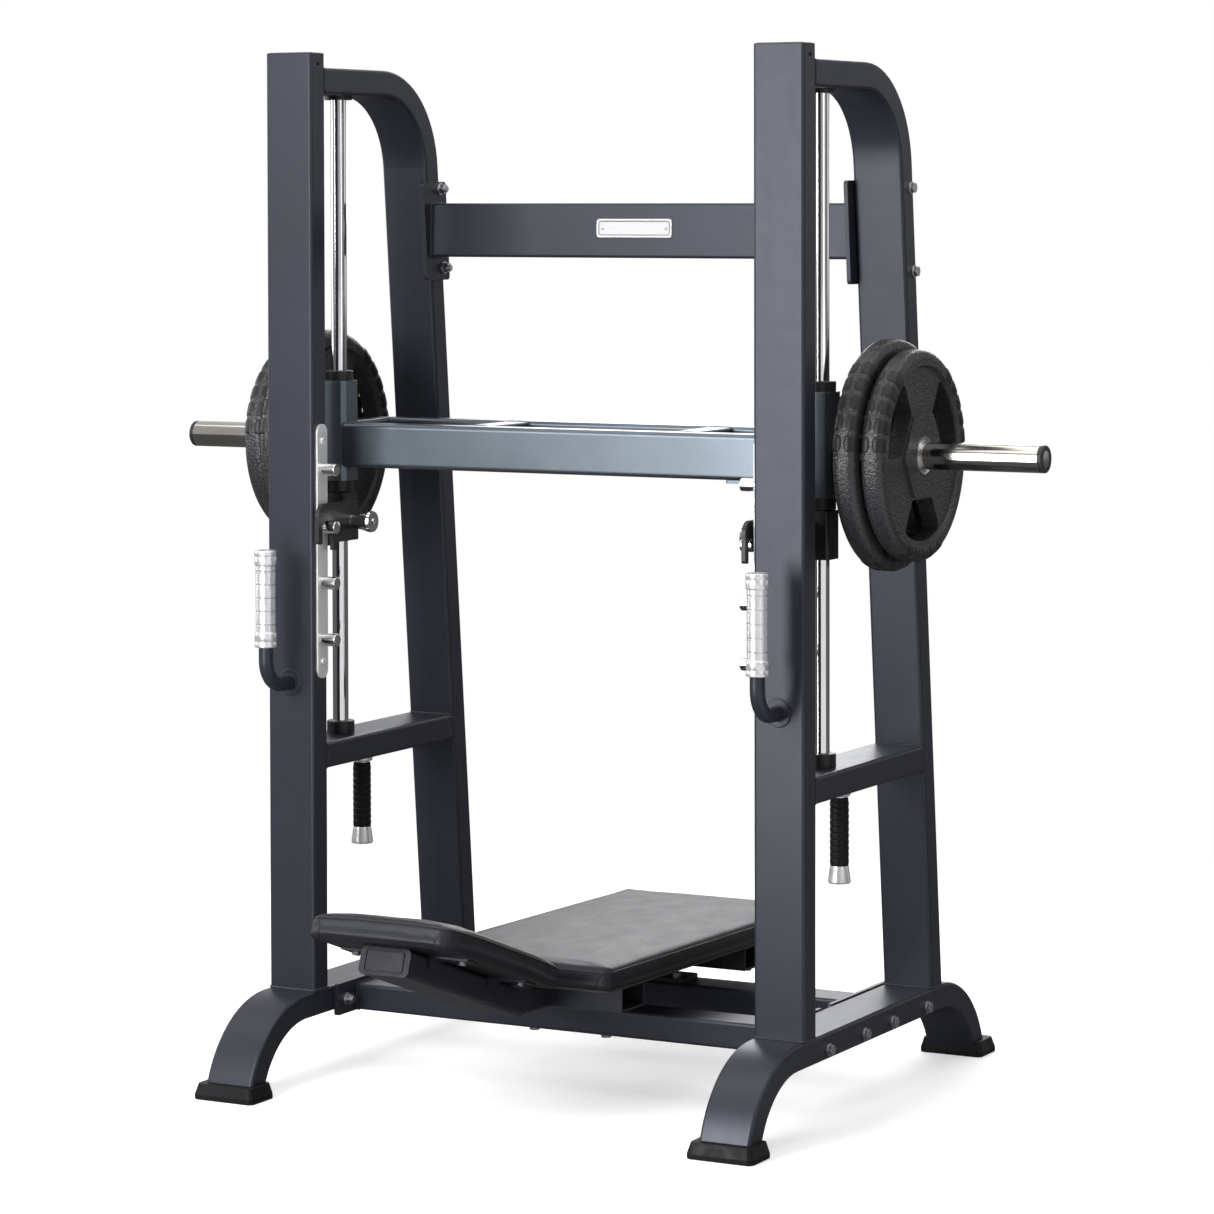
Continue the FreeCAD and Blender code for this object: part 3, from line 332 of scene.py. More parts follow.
SLOT_MAT = {
    "frame_powder": FRAME, "bench_powder": BENCH, "carriage_powder": CARRIAGE,
    "black_plastic": BLACKPL, "foot_rubber": FOOT, "grip_rubber": GRIPR, "chrome": CHROME,
    "stainless": STAINLESS, "knurled_aluminium": ALU, "zinc_hardware": ZINC, "bush_steel": STEEL,
    "black_steel": BLACKST, "badge_metal": BADGE, "plate_rubber": PLATE,
    "pad_leather": LEATHER, "board_ply": BOARD,
}
NODE_MAT = {
    "left_weight_sleeve": CHROME_X, "right_weight_sleeve": CHROME_X, "bench_tube_cap": CAPPL,
    "left_inner_plate_hub": CHROME_H, "right_inner_plate_hub": CHROME_H, "left_outer_plate_hub": CHROME_H, "right_outer_plate_hub": CHROME_H,
}
for sp in frame["record"]["subparts"]:
    ob = NODES.get(sp["node"])
    if ob is None:
        continue
    mt = NODE_MAT.get(sp["node"], SLOT_MAT[sp["material_slot"]])
    if not ob.material_slots:
        ob.data.materials.append(mt)
    for s in ob.material_slots:
        s.material = mt


# ---------------------------------------------------------------------------
# mesh helpers
# ---------------------------------------------------------------------------
def make(name, verts, faces, mat, smooth=True):
    me = bpy.data.meshes.new(name)
    me.from_pydata([tuple(v) for v in verts], [], faces)
    me.update()
    ob = bpy.data.objects.new(name, me)
    scene.collection.objects.link(ob)
    me.materials.append(mat)
    if smooth:
        for p in me.polygons:
            p.use_smooth = True
    return ob


def fix_normals(ob):
    bm = bmesh.new()
    bm.from_mesh(ob.data)
    bmesh.ops.recalc_face_normals(bm, faces=bm.faces)
    bm.to_mesh(ob.data)
    bm.free()
    ob.data.update()


def sweep(path, radius, segs=8, closed=True, ripple=0.0, pitch=0.004, flat=1.0):
    """tube along a dense list of points; ripple swells it at every pitch"""
    n = len(path)
    verts, faces = [], []
    d = 0.0
    for i, p in enumerate(path):
        a = path[(i - 1) % n] if closed or i else path[0]
        b = path[(i + 1) % n] if closed or i < n - 1 else path[-1]
        t = (b - a)
        if t.length < 1e-9:
            t = Vector((0, 0, 1))
        t.normalize()
        ref = Vector((0, 0, 1)) if abs(t.z) < 0.9 else Vector((1, 0, 0))
        u = t.cross(ref).normalized()
        v = t.cross(u).normalized()
        if i:
            d += (p - path[i - 1]).length
        r = radius * (1 + ripple * math.sin(2 * math.pi * d / pitch))
        for k in range(segs):
            q = 2 * math.pi * k / segs
            verts.append(p + u * (r * math.cos(q)) + v * (r * math.sin(q) * flat))
    last = n if closed else n - 1
    for i in range(last):
        j = (i + 1) % n
        for k in range(segs):
            l = (k + 1) % segs
            faces.append((i * segs + k, i * segs + l, j * segs + l, j * segs + k))
    if not closed:
        faces.append(tuple(range(segs))[::-1])
        faces.append(tuple((n - 1) * segs + k for k in range(segs)))
    return verts, faces


def dense(points, step, closed=True):
    out = []
    m = len(points)
    for i in range(m if closed else m - 1):
        a, b = points[i], points[(i + 1) % m]
        k = max(1, int((b - a).length / step))
        for j in range(k):
            out.append(a.lerp(b, j / k))
    if not closed:
        out.append(points[-1])
    return out


def round_rect(u0, u1, v0, v1, r, n=5):
    pts = []
    for cx, cy, a0 in ((u1 - r, v1 - r, 0), (u0 + r, v1 - r, 90), (u0 + r, v0 + r, 180), (u1 - r, v0 + r, 270)):
        for k in range(n + 1):
            a = math.radians(a0 + 90 * k / n)
            pts.append((cx + r * math.cos(a), cy + r * math.sin(a)))
    return pts


def weld(name, pts, body, mat=None, r=2.6, closed=True):
    path = dense([p if isinstance(p, Vector) else R(*p) for p in pts], 0.0012, closed)
    v, f = sweep(path, r / 1000.0, 8, closed, 0.16, 0.0046)
    ob = make(name, v, f, mat or WELD)
    fix_normals(ob)
    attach(ob, body)
    return ob


def both(name, pts, body, **kw):
    """the same bead on the right and, mirrored, on the left"""
    bodies = body if isinstance(body, tuple) else (body, body)
    weld("right_" + name, pts, bodies[1], **kw)
    weld("left_" + name, [(-p[0], p[1], p[2]) for p in pts], bodies[0], **kw)


IN, OUT = 459.0, 559.0
both("weld_upright_foot", [(x, y, 168.4) for x, y in round_rect(IN, OUT, 0.6, 50, 6)], "frame")
both("weld_rear_upright_foot", [(x, y, 168.4) for x, y in round_rect(IN, OUT, 560.0, 610.2, 6)], "frame")
both("weld_mid_rail_front", [(x, 50.3, z) for x, z in round_rect(IN + 1, OUT - 1, 583, 632, 6)], "frame", r=2.3)
both("weld_mid_rail_rear", [(x, 485.2 + 0.09 * (1000 - z) - 0.4, z) for x, z in round_rect(IN + 1, OUT - 1, 583, 632, 6)], "frame", r=2.3)
both("weld_top_rail", [(x, 50.3, z) for x, z in round_rect(IN + 1, OUT - 1, 1854, 1904, 6)], "frame", r=2.3)
both("weld_front_beam_end", [(450.6, y, z) for y, z in round_rect(138, 218, 110.5, 160, 6)], "frame", r=2.3)
both("weld_rear_beam_end", [(450.6, y, z) for y, z in round_rect(418, 500, 110.5, 160, 6)], "frame", r=2.3)
both("weld_top_beam_end", [(450.6, y, z) for y, z in round_rect(425, 475, 1543, 1648, 6)], "frame", r=2.3)
both("weld_carriage_housing", [(480.6, y, z) for y, z in round_rect(149.5, 193.5, 1146.5, 1229.5, 9)], "carriage", mat=CWELD, r=2.4)
both("weld_carriage_end", [(x, 354.2, z) for x, z in round_rect(500.5, 538, 1147, 1229, 6)], "carriage", mat=CWELD, r=2.0)
both("weld_carriage_end_front", [(x, 205.4, z) for x, z in round_rect(500.5, 536, 1147, 1229, 6)], "carriage", mat=CWELD, r=2.0)
for tag, (xa, xb) in (("a", (193, 243)),):
    both("weld_cross_front", [(x, 194.2, z) for x, z in round_rect(xa, xb, 1152, 1229, 5)], "carriage", mat=CWELD, r=2.0)
    both("weld_cross_rear", [(x, 353.8, z) for x, z in round_rect(xa, xb, 1152, 1229, 5)], "carriage", mat=CWELD, r=2.0)
both("weld_stop_arm", [(448.3, y, z) for y, z in ((131.5, 1080.4), (105.7, 1080.4), (105.7, 1017.6), (131.5, 1017.6))], ("left_stop", "right_stop"), r=1.8, closed=False)
both("weld_stop_block", [(x, 151.7, z) for x, z in ((484.5, 1080.3), (499.4, 1080.3), (499.4, 1017.7), (484.5, 1017.7))], ("left_stop", "right_stop"), r=1.8, closed=False)
for a in (0.0,):
    pts = [(509 + 24.2 * math.cos(2 * math.pi * k / 60), 0.2, 749 + 24.2 * math.sin(2 * math.pi * k / 60)) for k in range(60)]
    both("weld_rosette", [(p[0], -0.4, p[2]) for p in pts], "frame", r=1.6)
    pts = [(509 + 13.9 * math.cos(2 * math.pi * k / 40), -4.4, 749 + 13.9 * math.sin(2 * math.pi * k / 40)) for k in range(40)]
    both("weld_grip_bar", pts, "frame", r=1.8)
    pts = [(509 + 20.6 * math.cos(2 * math.pi * k / 50), 254 + 20.6 * math.sin(2 * math.pi * k / 50), 582.6) for k in range(50)]
    both("weld_handle", pts, "frame", r=1.8)
for sgn, side in ((1, "right"), (-1, "left")):
    for tag, y0, y1, z1 in (("front", 0, 88, 233.0), ("rear", 503, 590, 224.0)):
        za = z1 - 44.0
        weld(f"weld_channel_{tag}_{side}", [(sgn * 50.8, y, z) for y, z in ((y0, z1 - 2), (y0, za), (y1, za - 1), (y1, z1 - 3))],
             "frame", r=2.0, closed=False)


# ---------------------------------------------------------------------------
# pads
# ---------------------------------------------------------------------------
def frame_matrix(origin, tilt_deg):
    """pad space (x across, y along to the back, z out of the pad) to the row frame"""
    return Matrix.Translation(origin) @ Euler((math.radians(tilt_deg), 0, 0)).to_matrix().to_4x4()


def smooth01(t):
    t = max(0.0, min(1.0, t))
    return t * t * (3 - 2 * t)


def cushion(name, w, l, t, r, mat_w, cap, crown, frames=20, voxel=0.0055, pressure=4.0, border=0.010, droop=0.0):
    """upholstered pad in pad space: x +-w/2, y 0..l, z -t..0; inflated as cloth with its underside held"""
    bm = bmesh.new()
    rings = []
    ins = 0.0035
    prof = [(-t, 0.006), (-t + 0.004, 0.0015), (-t + 0.010, 0.0), (-border - 0.006, 0.0), (-border, 0.0012), (-0.004, 0.005), (-0.001, 0.012)]
    for z, d in prof:
        pts = round_rect(-w / 2 + d + ins, w / 2 - d - ins, d + ins, l - d - ins, max(r - d, 0.004), 8)
        rings.append([bm.verts.new((x, y, z - ins * 0.5)) for x, y in pts])
    n = len(rings[0])
    for a, b in zip(rings, rings[1:]):
        for i in range(n):
            bm.faces.new((a[i], a[(i + 1) % n], b[(i + 1) % n], b[i]))
    bm.faces.new(rings[0][::-1])
    bm.faces.new(rings[-1])
    bmesh.ops.recalc_face_normals(bm, faces=bm.faces)
    me = bpy.data.meshes.new(name)
    bm.to_mesh(me)
    bm.free()
    ob = bpy.data.objects.new(name, me)
    scene.collection.objects.link(ob)
    bpy.context.view_layer.objects.active = ob
    ob.select_set(True)
    rm = ob.modifiers.new("remesh", "REMESH")
    rm.mode = "VOXEL"
    rm.voxel_size = voxel
    bpy.ops.object.modifier_apply(modifier="remesh")
    start = [v.co.copy() for v in ob.data.vertices]
    g = ob.vertex_groups.new(name="held")
    for v in ob.data.vertices:
        wgt = 1.0 if v.co.z < -t + 0.006 else 0.0
        if wgt:
            g.add([v.index], 1.0, "REPLACE")
    cl = ob.modifiers.new("cloth", "CLOTH")
    st = cl.settings
    st.quality = 4
    st.mass = 0.25
    st.use_pressure = True
    st.uniform_pressure_force = pressure
    st.tension_stiffness = 24
    st.compression_stiffness = 24
    st.shear_stiffness = 12
    st.bending_stiffness = 0.8
    st.effector_weights.gravity = 0.0
    st.vertex_group_mass = "held"
    cl.collision_settings.use_collision = False
    cl.collision_settings.use_self_collision = False
    scene.frame_start, scene.frame_end = 1, frames
    for f in range(1, frames + 1):
        scene.frame_set(f)
    bpy.ops.object.modifier_apply(modifier="cloth")
    scene.frame_set(1)
    me = ob.data
    for v, s in zip(me.vertices, start):
        d = v.co - s
        if d.length > cap:
            d *= cap / d.length
        p = s + d
        # the border stays tight over the foam; the middle stands proud
        fx = smooth01((w / 2 - abs(p.x)) / (w * 0.36))
        fy = smooth01(min(p.y, l - p.y) / (w * 0.36))
        up = smooth01((p.z + t * 0.6) / (t * 0.55))
        p.z += crown * fx * fy * up
        # the cover is pulled down over the four corners
        dc = math.hypot(w / 2 - abs(p.x), min(p.y, l - p.y))
        p.z -= droop * smooth01(1.0 - dc / 0.105) * up
        # the sides pull in between the corners
        if p.z > -t + 0.004:
            p.x *= 1.0 - 0.004 * smooth01(min(p.y, l - p.y) / 0.12) * smooth01((abs(p.x) - w * 0.30) / (w * 0.2))
        v.co = p
    sub = ob.modifiers.new("sub", "SUBSURF")
    sub.levels = sub.render_levels = 1
    bpy.ops.object.modifier_apply(modifier="sub")
    for p in me.polygons:
        p.use_smooth = True
    me.materials.append(mat_w)
    ob.select_set(False)
    return ob


def pad_seams(name, ob, w, l, t, r, mw, body, border=0.010, gather=0.0):
    """piping round the top border, a stitch line below it, folded corner seams"""
    from mathutils.bvhtree import BVHTree
    bm = bmesh.new()
    bm.from_mesh(ob.data)
    tree = BVHTree.FromBMesh(bm)
    bm.free()
    made = []

    def on_skin(p, lift):
        q, nrm, _, _ = tree.find_nearest(p)
        return (q + nrm * lift) if q is not None else p

    ring = [Vector((x, y, -border)) for x, y in round_rect(-w / 2, w / 2, 0, l, r, 10)]
    path = [on_skin(p, 0.0006) for p in dense(ring, 0.004)]
    # low-pass the path so the piping runs fair
    for _ in range(6):
        path = [(path[i - 1] + path[i] * 2 + path[(i + 1) % len(path)]) / 4 for i in range(len(path))]
    v, f = sweep(path, 0.0013, 8)
    made.append(make(name + "_piping", v, f, PIPING))
    # stitches: short capsules just under the piping
    ring2 = [Vector((x, y, -border - 0.0065)) for x, y in round_rect(-w / 2, w / 2, 0, l, r, 10)]
    path2 = [on_skin(p, 0.0001) for p in dense(ring2, 0.0012)]
    verts, faces = [], []
    i = 0
    step = 5
    while i + 3 < len(path2):
        vv, ff = sweep(path2[i:i + 4], 0.00042, 5, False)
        base = len(verts)
        verts += vv
        faces += [tuple(k + base for k in q) for q in ff]
        i += step
    made.append(make(name + "_stitches", verts, faces, THREAD))
    # corner folds
    for cx, sx in ((-w / 2, 1), (w / 2, -1)):
        for cy, sy in ((0, 1), (l, -1)):
            c = Vector((cx + sx * r * 0.30, cy + sy * r * 0.30, 0))
            if gather and sy > 0:
                # the front corners are closed with a curved gathering seam
                arc = [0.5 * math.pi * k / 16 for k in range(17)]
                p = [on_skin(Vector((cx + sx * (0.003 + gather * math.cos(a)), cy, -t + 0.003 + (t - 0.011) * math.sin(a))), 0.0002) for a in arc]
            else:
                p = [on_skin(Vector((c.x, c.y, z)), 0.0002) for z in [(-border - 0.002) - k * (t - border - 0.006) / 12 for k in range(13)]]
            v, f = sweep(p, 0.0011, 6, False)
            made.append(make("%s_fold_%d%d" % (name, sx > 0, sy > 0), v, f, PIPING))
    for m in made:
        fix_normals(m)
        m.matrix_world = mw
        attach(m, body)
    return made


main_tilt = math.degrees(math.atan(-0.0176))
MAIN_MW = frame_matrix(R(0, -80, 285.0), main_tilt)
pad = cushion("main_pad_cover", 0.432, 0.8652, 0.045, 0.020, LEATHER, 0.0024, 0.0050)
pad.matrix_world = MAIN_MW
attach(pad, "frame")
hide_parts("main_pad")
pad_seams("main_pad", pad, 0.432, 0.8652, 0.045, 0.020, MAIN_MW, "frame", gather=0.032)

HEAD_MW = frame_matrix(R(0, -521.5, 434.5), -19.07)
pad = cushion("head_pad_cover", 0.300, 0.430, 0.0495, 0.027, LEATHER, 0.0030, 0.0050, 20, 0.005, 4.5, droop=0.007)
pad.matrix_world = HEAD_MW
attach(pad, "frame")
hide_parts("head_pad")
pad_seams("head_pad", pad, 0.300, 0.430, 0.0495, 0.027, HEAD_MW, "frame", gather=0.032)


# ---------------------------------------------------------------------------
# turned aluminium grips with fine rings
# ---------------------------------------------------------------------------
def lathe(name, prof, centre, mat, segs=64):
    verts, faces = [], []
    for r, z in prof:
        for k in range(segs):
            a = 2 * math.pi * k / segs
            verts.append((centre.x + r * math.cos(a), centre.y + r * math.sin(a), centre.z + z))
    n = len(prof)
    for i in range(n - 1):
        for k in range(segs):
            l = (k + 1) % segs
            faces.append((i * segs + k, i * segs + l, (i + 1) * segs + l, (i + 1) * segs + k))
    faces.append(tuple(range(segs))[::-1])
    faces.append(tuple((n - 1) * segs + k for k in range(segs)))
    ob = make(name, verts, faces, mat)
    fix_normals(ob)
    return ob


def grip_profile():
    L = 0.181
    p = [(0.0136, 0.0), (0.0194, 0.0), (0.0203, 0.0008), (0.0205, 0.002), (0.0205, 0.010), (0.0201, 0.0106),
         (0.0201, 0.0118), (0.0205, 0.0124), (0.0205, 0.0262), (0.0200, 0.0275), (0.0190, 0.0282)]
    z = 0.0290
    i = 0
    while z < L - 0.0310:
        if i % 8 == 4:
            p += [(0.0186, z), (0.0174, z + 0.0003), (0.0174, z + 0.0013), (0.0186, z + 0.0016)]
        else:
            p += [(0.0184, z), (0.0187, z + 0.0009), (0.0187, z + 0.0021), (0.0184, z + 0.0029)]
        z += 0.0031
        i += 1
    p += [(0.0190, L - 0.0282), (0.0200, L - 0.0275), (0.0205, L - 0.0262), (0.0205, L - 0.0124), (0.0201, L - 0.0118),
          (0.0201, L - 0.0106), (0.0205, L - 0.0100), (0.0205, L - 0.0026), (0.0200, L - 0.0012), (0.0188, L), (0.0060, L), (0.0050, L - 0.0012), (0.0001, L - 0.0012)]
    return p


for side, s in (("left", -1), ("right", 1)):
    g = lathe(side + "_grip_turned", grip_profile(), R(509 * s, -86, 823), ALU)
    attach(g, "frame")
    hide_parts(side + "_grip_sleeve")

# ---------------------------------------------------------------------------
# weight plates: finger ribs on the rim beside each grip opening
# ---------------------------------------------------------------------------
def rim_blocks(side, s, which, x_in, rim_t, Rr):
    body = f"{side}_{which}_weight"
    verts, faces = [], []
    cy, cz = R(0, 275, 1193).y, 1.193
    rr = 15.0
    # the line along the rim's skin, from its inner border over the round edge to the middle of the tread
    line = [(rim_t, Rr * 0.860), (rim_t, Rr * 0.875), (rim_t, Rr * 0.89), (rim_t, Rr - rr)]
    line += [(rim_t - rr + rr * math.cos(a), Rr - rr + rr * math.sin(a)) for a in (math.radians(10 * k) for k in range(1, 9))]
    line += [(rim_t - rr, Rr), (rim_t - rr - 2.0, Rr), (rim_t - rr - 4.0, Rr), (rim_t - rr - 6.0, Rr)]
    nrm = [(1.0, 0.0)] * 4 + [(math.cos(math.radians(10 * k)), math.sin(math.radians(10 * k))) for k in range(1, 9)] + [(0.0, 1.0)] * 4
    nu, nv = len(line), 12
    half = 4.35
    for k, j, back in [(k, j, b) for k in range(3) for j in range(-2, 3) for b in (False, True)]:
            a0 = 270 + 120 * k + j * 10.6
            base = len(verts)
            for iu in range(nu):
                for iv in range(nv + 1):
                    q = 2.0 * iv / nv - 1.0
                    # a rounded outer end, like the end of a finger
                    e = min(1.0, iu / 2.2) * smooth01((nu - 1 - iu) / 3.0 + 0.15 - 0.9 * max(0.0, abs(q) - 0.35))
                    h = (-0.35 + 1.8 * smooth01((1.0 - abs(q)) / 0.22) * (smooth01(e) if iu < nu - 1 else 0.0))
                    a = math.radians(a0 + half * q)
                    x = line[iu][0] + nrm[iu][0] * h
                    x = x_in + (rim_t - x if back else x)
                    r = line[iu][1] + nrm[iu][1] * h
                    verts.append(Vector((s * x / 1000, cy + r / 1000 * math.cos(a), cz + r / 1000 * math.sin(a))))
            for iu in range(nu - 1):
                for iv in range(nv):
                    p = base + iu * (nv + 1) + iv
                    f = (p, p + 1, p + nv + 2, p + nv + 1)
                    faces.append(f if (s < 0) != back else f[::-1])
    ob = make(f"{side}_{which}_rim_blocks", verts, faces, RIM)
    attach(ob, body)


for side, s in (("left", -1), ("right", 1)):
    rim_blocks(side, s, "inner", 578.5, 45.0, 209.5)
    rim_blocks(side, s, "outer", 625.0, 45.0, 191.0)
    # polished disc let into the sleeve's end cap
    pts = [(0.0, 0.0), (0.0156, 0.0), (0.0162, 0.0005), (0.0162, 0.0009), (0.0152, 0.0014), (0.0, 0.0016)]
    vv, ff = [], []
    for d, t in pts:
        for q in range(48):
            a = 2 * math.pi * q / 48
            vv.append(Vector((s * (0.90295 + t), R(0, 275, 0).y + d * math.cos(a), 1.193 + d * math.sin(a))))
    for a in range(len(pts) - 1):
        for q in range(48):
            n = (q + 1) % 48
            ff.append((a * 48 + q, a * 48 + n, (a + 1) * 48 + n, (a + 1) * 48 + q))
    disc = make(f"{side}_sleeve_disc", vv, ff, DISC)
    bpy.context.view_layer.objects.active = disc
    weld_bm = bmesh.new()
    weld_bm.from_mesh(disc.data)
    bmesh.ops.remove_doubles(weld_bm, verts=weld_bm.verts, dist=1e-6)
    weld_bm.to_mesh(disc.data)
    weld_bm.free()
    fix_normals(disc)
    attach(disc, "carriage")

# badge: blank plate with a raised border, a black ring inside it as the painted shade of a groove, and two rivets
bx0, bx1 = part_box("badge_plate")
for tag, inset, rad, mt in (("rim", 0.0016, 0.0013, BADGE_RIM), ("line", 0.0052, 0.0006, BLACKPL)):
    ring = [Vector((x, bx0.y - 0.0002, z)) for x, z in round_rect(bx0.x + inset, bx1.x - inset, bx0.z + inset, bx1.z - inset, 0.005, 8)]
    v, f = sweep(ring, rad, 8)
    o = make("badge_" + tag, v, f, mt)
    fix_normals(o)
    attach(o, "frame")
for sg in (1, -1):
    bm = bmesh.new()
    bmesh.ops.create_uvsphere(bm, u_segments=20, v_segments=10, radius=0.0032)
    bmesh.ops.scale(bm, vec=(1, 0.45, 1), verts=bm.verts)
    bmesh.ops.translate(bm, vec=(sg * (bx1.x - 0.013), bx0.y - 0.0002, (bx0.z + bx1.z) / 2), verts=bm.verts)
    me = bpy.data.meshes.new("badge_rivet")
    bm.to_mesh(me)
    bm.free()
    for p in me.polygons:
        p.use_smooth = True
    me.materials.append(ZINC)
    o = bpy.data.objects.new("badge_rivet_%s" % ("right" if sg > 0 else "left"), me)
    scene.collection.objects.link(o)
    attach(o, "frame")

# ---------------------------------------------------------------------------
# studio
# ---------------------------------------------------------------------------
bpy.ops.mesh.primitive_plane_add(size=80, location=(0, 0, -0.0006))
floor = bpy.context.object
floor.name = "floor"
FLOOR_NEAR, FLOOR_FAR, FLOOR_LIFT = 1.5, 3.2, 0.47
fm = Mat("floor_paper", (0.90, 0.90, 0.905), 0.75, 0.0, 0.2)
fm.bump(fm.noise(60.0, 2), 0.01, 0.001)
fm.done(fm.mix(fm.noise(0.6, 2), (0.89, 0.89, 0.895), (0.905, 0.905, 0.91)))
# the paper is burnt out to white away from the machine, as on a lit cyclorama
ft, fn = fm.t, fm.n
f_out = [n for n in fn if n.type == "OUTPUT_MATERIAL"][0]
f_len = fn.new("ShaderNodeVectorMath")
f_len.operation = "LENGTH"
ft.links.new(fm.co, f_len.inputs[0])
f_far = fn.new("ShaderNodeMapRange")
f_far.interpolation_type = "SMOOTHSTEP"
f_far.inputs["From Min"].default_value = FLOOR_NEAR
f_far.inputs["From Max"].default_value = FLOOR_FAR
ft.links.new(f_len.outputs["Value"], f_far.inputs["Value"])
f_lift = fn.new("ShaderNodeEmission")
f_lift.inputs["Strength"].default_value = FLOOR_LIFT
f_add = fn.new("ShaderNodeAddShader")
ft.links.new(fm.b.outputs[0], f_add.inputs[0])
ft.links.new(f_lift.outputs[0], f_add.inputs[1])
f_white = fn.new("ShaderNodeEmission")
f_white.inputs["Strength"].default_value = 1.0
f_mix = fn.new("ShaderNodeMixShader")
ft.links.new(f_far.outputs["Result"], f_mix.inputs[0])
ft.links.new(f_add.outputs[0], f_mix.inputs[1])
ft.links.new(f_white.outputs[0], f_mix.inputs[2])
f_lp = fn.new("ShaderNodeLightPath")
f_cam = fn.new("ShaderNodeMixShader")
ft.links.new(f_lp.outputs["Is Camera Ray"], f_cam.inputs[0])
f_dark = fn.new("ShaderNodeEmission")
# mirrors see a dark studio floor, lit only in front of the right-hand side
f_xyz = fn.new("ShaderNodeSeparateXYZ")
ft.links.new(fm.co, f_xyz.inputs[0])


def floor_step(axis, a, b):
    mr = fn.new("ShaderNodeMapRange")
    mr.interpolation_type = "SMOOTHSTEP"
    mr.inputs["From Min"].default_value = a
    mr.inputs["From Max"].default_value = b
    ft.links.new(f_xyz.outputs[axis], mr.inputs["Value"])
    return mr.outputs["Result"]


f_mul = fn.new("ShaderNodeMath")
f_mul.operation = "MULTIPLY"
ft.links.new(floor_step("X", 0.6, 1.5), f_mul.inputs[0])
ft.links.new(floor_step("Y", 0.7, -0.1), f_mul.inputs[1])
f_amp = fn.new("ShaderNodeMath")
f_amp.operation = "MULTIPLY_ADD"
f_amp.inputs[1].default_value = 0.75
f_amp.inputs[2].default_value = 0.12
ft.links.new(f_mul.outputs[0], f_amp.inputs[0])
ft.links.new(f_amp.outputs[0], f_dark.inputs["Strength"])
f_glo = fn.new("ShaderNodeMixShader")
ft.links.new(f_lp.outputs["Is Glossy Ray"], f_glo.inputs[0])
ft.links.new(fm.b.outputs[0], f_glo.inputs[1])
ft.links.new(f_dark.outputs[0], f_glo.inputs[2])
ft.links.new(f_glo.outputs[0], f_cam.inputs[1])
ft.links.new(f_mix.outputs[0], f_cam.inputs[2])
ft.links.new(f_cam.outputs[0], f_out.inputs["Surface"])
floor.data.materials.append(fm.m)

world = bpy.data.worlds.new("studio")
scene.world = world
world.use_nodes = True
wt = world.node_tree
for n in list(wt.nodes):
    wt.nodes.remove(n)
tc = wt.nodes.new("ShaderNodeTexCoord")
sep = wt.nodes.new("ShaderNodeSeparateXYZ")
wt.links.new(tc.outputs["Generated"], sep.inputs[0])
ramp = wt.nodes.new("ShaderNodeValToRGB")
mapx = wt.nodes.new("ShaderNodeMapRange")
mapx.inputs["From Min"].default_value = -1
mapx.inputs["From Max"].default_value = 1
wt.links.new(sep.outputs["X"], mapx.inputs["Value"])
stops = [(0.0, 0.10), (0.08, 0.14), (0.15, 0.95), (0.34, 1.0), (0.42, 0.22), (0.55, 0.16), (0.64, 0.60), (0.78, 0.60), (0.83, 0.95), (0.90, 0.95), (0.95, 0.06), (1.0, 0.4)]
el = ramp.color_ramp.elements
while len(el) < len(stops):
    el.new(0.5)
for e, (p, c) in zip(el, stops):
    e.position = p
    e.color = (c, c, c * 1.01, 1)
wt.links.new(mapx.outputs[0], ramp.inputs["Fac"])
lp = wt.nodes.new("ShaderNodeLightPath")
amb = wt.nodes.new("ShaderNodeBackground")
amb.inputs["Color"].default_value = (0.97, 0.98, 1.0, 1)
amb.inputs["Strength"].default_value = 0.24
glo = wt.nodes.new("ShaderNodeBackground")
gy = wt.nodes.new("ShaderNodeMapRange")
gy.inputs["From Min"].default_value = -1
gy.inputs["From Max"].default_value = 1
gy.inputs["To Min"].default_value = 0.48
gy.inputs["To Max"].default_value = 0.92
wt.links.new(sep.outputs["Y"], gy.inputs["Value"])
wt.links.new(gy.outputs["Result"], glo.inputs["Strength"])
wt.links.new(ramp.outputs["Color"], glo.inputs["Color"])
cam_bg = wt.nodes.new("ShaderNodeBackground")
cam_bg.inputs["Color"].default_value = (1, 1, 1, 1)
cam_bg.inputs["Strength"].default_value = 1.0
m1 = wt.nodes.new("ShaderNodeMixShader")
m2 = wt.nodes.new("ShaderNodeMixShader")
wt.links.new(lp.outputs["Is Glossy Ray"], m1.inputs[0])
wt.links.new(amb.outputs[0], m1.inputs[1])
wt.links.new(glo.outputs[0], m1.inputs[2])
wt.links.new(lp.outputs["Is Camera Ray"], m2.inputs[0])
wt.links.new(m1.outputs[0], m2.inputs[1])
wt.links.new(cam_bg.outputs[0], m2.inputs[2])
out = wt.nodes.new("ShaderNodeOutputWorld")
wt.links.new(m2.outputs[0], out.inputs["Surface"])


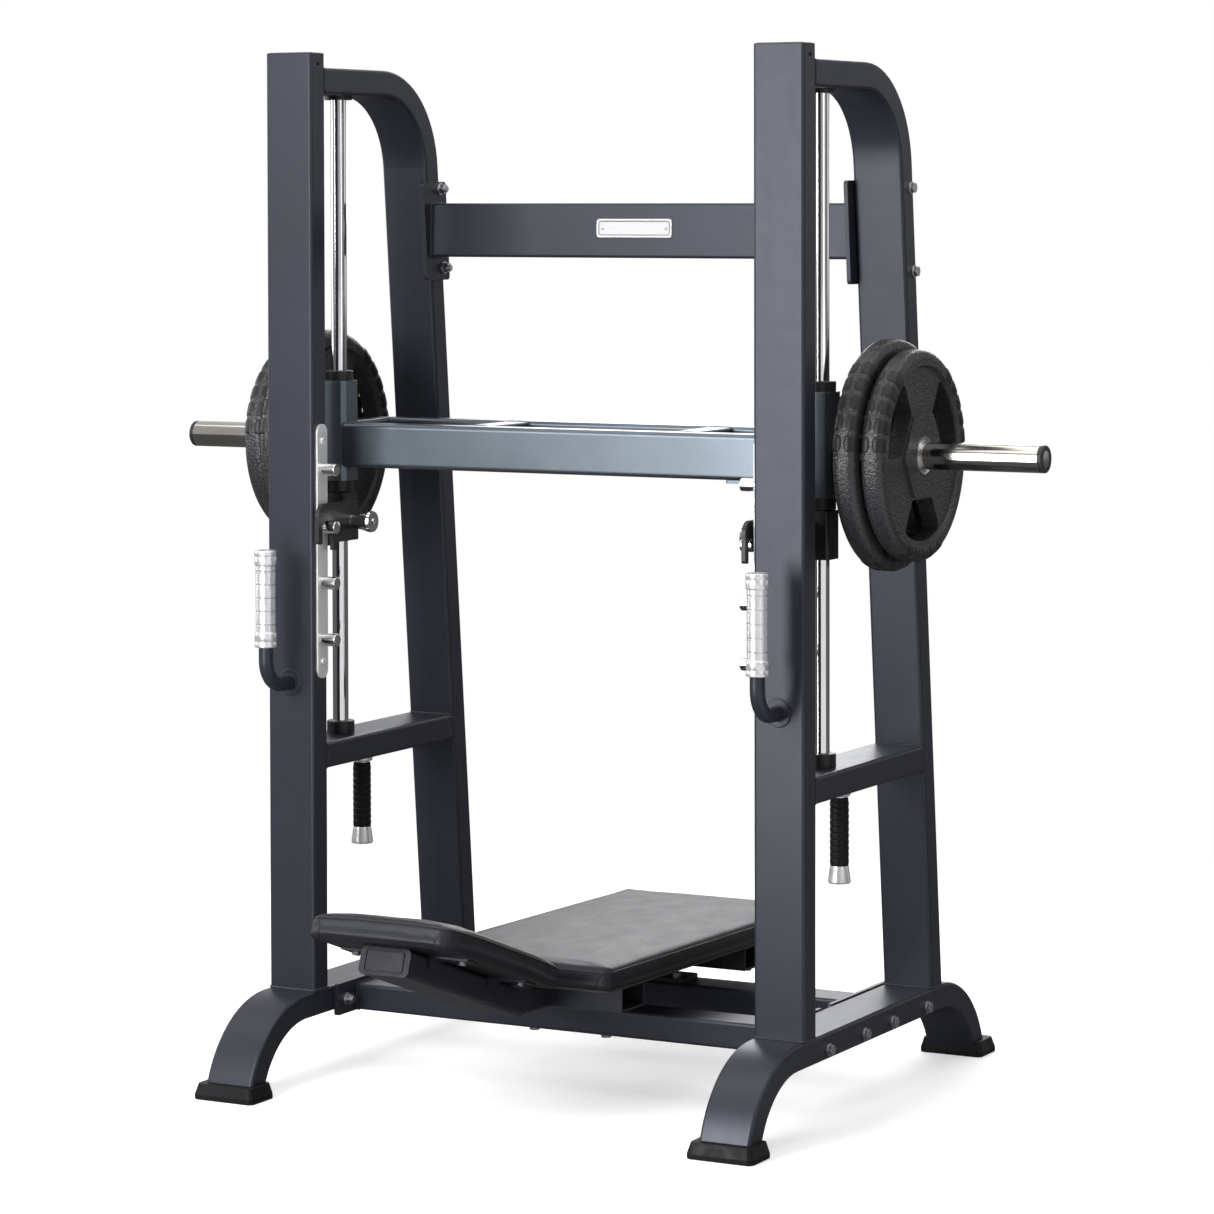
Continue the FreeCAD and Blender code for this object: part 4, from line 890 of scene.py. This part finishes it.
def softbox(name, loc, target, size, energy, size_y=None, color=(1, 1, 1)):
    d = bpy.data.lights.new(name, "AREA")
    d.energy = energy
    d.size = size
    d.color = color
    if size_y:
        d.shape = "RECTANGLE"
        d.size_y = size_y
    o = bpy.data.objects.new(name, d)
    scene.collection.objects.link(o)
    o.location = loc
    o.rotation_euler = (Vector(target) - Vector(loc)).to_track_quat("-Z", "Y").to_euler()
    return o


softbox("key", (-1.6, -4.6, 2.7), (0, 0, 0.9), 2.4, 150, 2.6)
softbox("right_strip", (4.0, -1.6, 2.4), (0.3, 0, 0.9), 1.2, 16, 2.6)
softbox("left_fill", (-4.2, -0.4, 2.2), (0, 0, 0.9), 1.6, 60, 2.4)
softbox("top", (0.2, -0.2, 4.4), (0, 0, 0), 5.2, 125, 5.0)
softbox("back", (-1.2, 4.2, 2.6), (0, 0, 0.9), 2.6, 70, 2.2)
# a tall near panel mirrored by the right upright and the right half of the carriage
softbox("near_panel", (-0.50, -2.6, 0.90), (0.45, 0.0, 0.90), 0.62, 33, 1.75)

# camera at the photograph's viewing angle
yaw, pitch, roll = (math.radians(a) for a in (28.0947, 1.7616, -0.1217))
fwd = Vector((-math.sin(yaw) * math.cos(pitch), math.cos(yaw) * math.cos(pitch), -math.sin(pitch)))
r0 = Vector((math.cos(yaw), math.sin(yaw), 0))
u0 = r0.cross(fwd)
rr = r0 * math.cos(roll) + u0 * math.sin(roll)
uu = -r0 * math.sin(roll) + u0 * math.cos(roll)
cam = bpy.data.cameras.new("camera")
cam.sensor_width = 36.0
cam.lens = 4122.9 / 1214.0 * 36.0
cam.clip_start, cam.clip_end = 0.1, 200
co = bpy.data.objects.new("camera", cam)
scene.collection.objects.link(co)
loc = R(3659.4, -6542.3, 1669.5)
co.matrix_world = Matrix((
    (rr.x, uu.x, -fwd.x, loc.x), (rr.y, uu.y, -fwd.y, loc.y), (rr.z, uu.z, -fwd.z, loc.z), (0, 0, 0, 1)))
scene.camera = co
# the lens is raised only where the photograph was taken: from any other place the view stays centred
dr = cam.driver_add("shift_y").driver
dr.type = "SCRIPTED"
var = dr.variables.new()
var.name = "x"
var.type = "TRANSFORMS"
var.targets[0].id = co
var.targets[0].transform_type = "LOC_X"
var.targets[0].transform_space = "WORLD_SPACE"
dr.expression = "-0.23748 if abs(x - %.6f) < 0.002 else 0.0" % loc.x
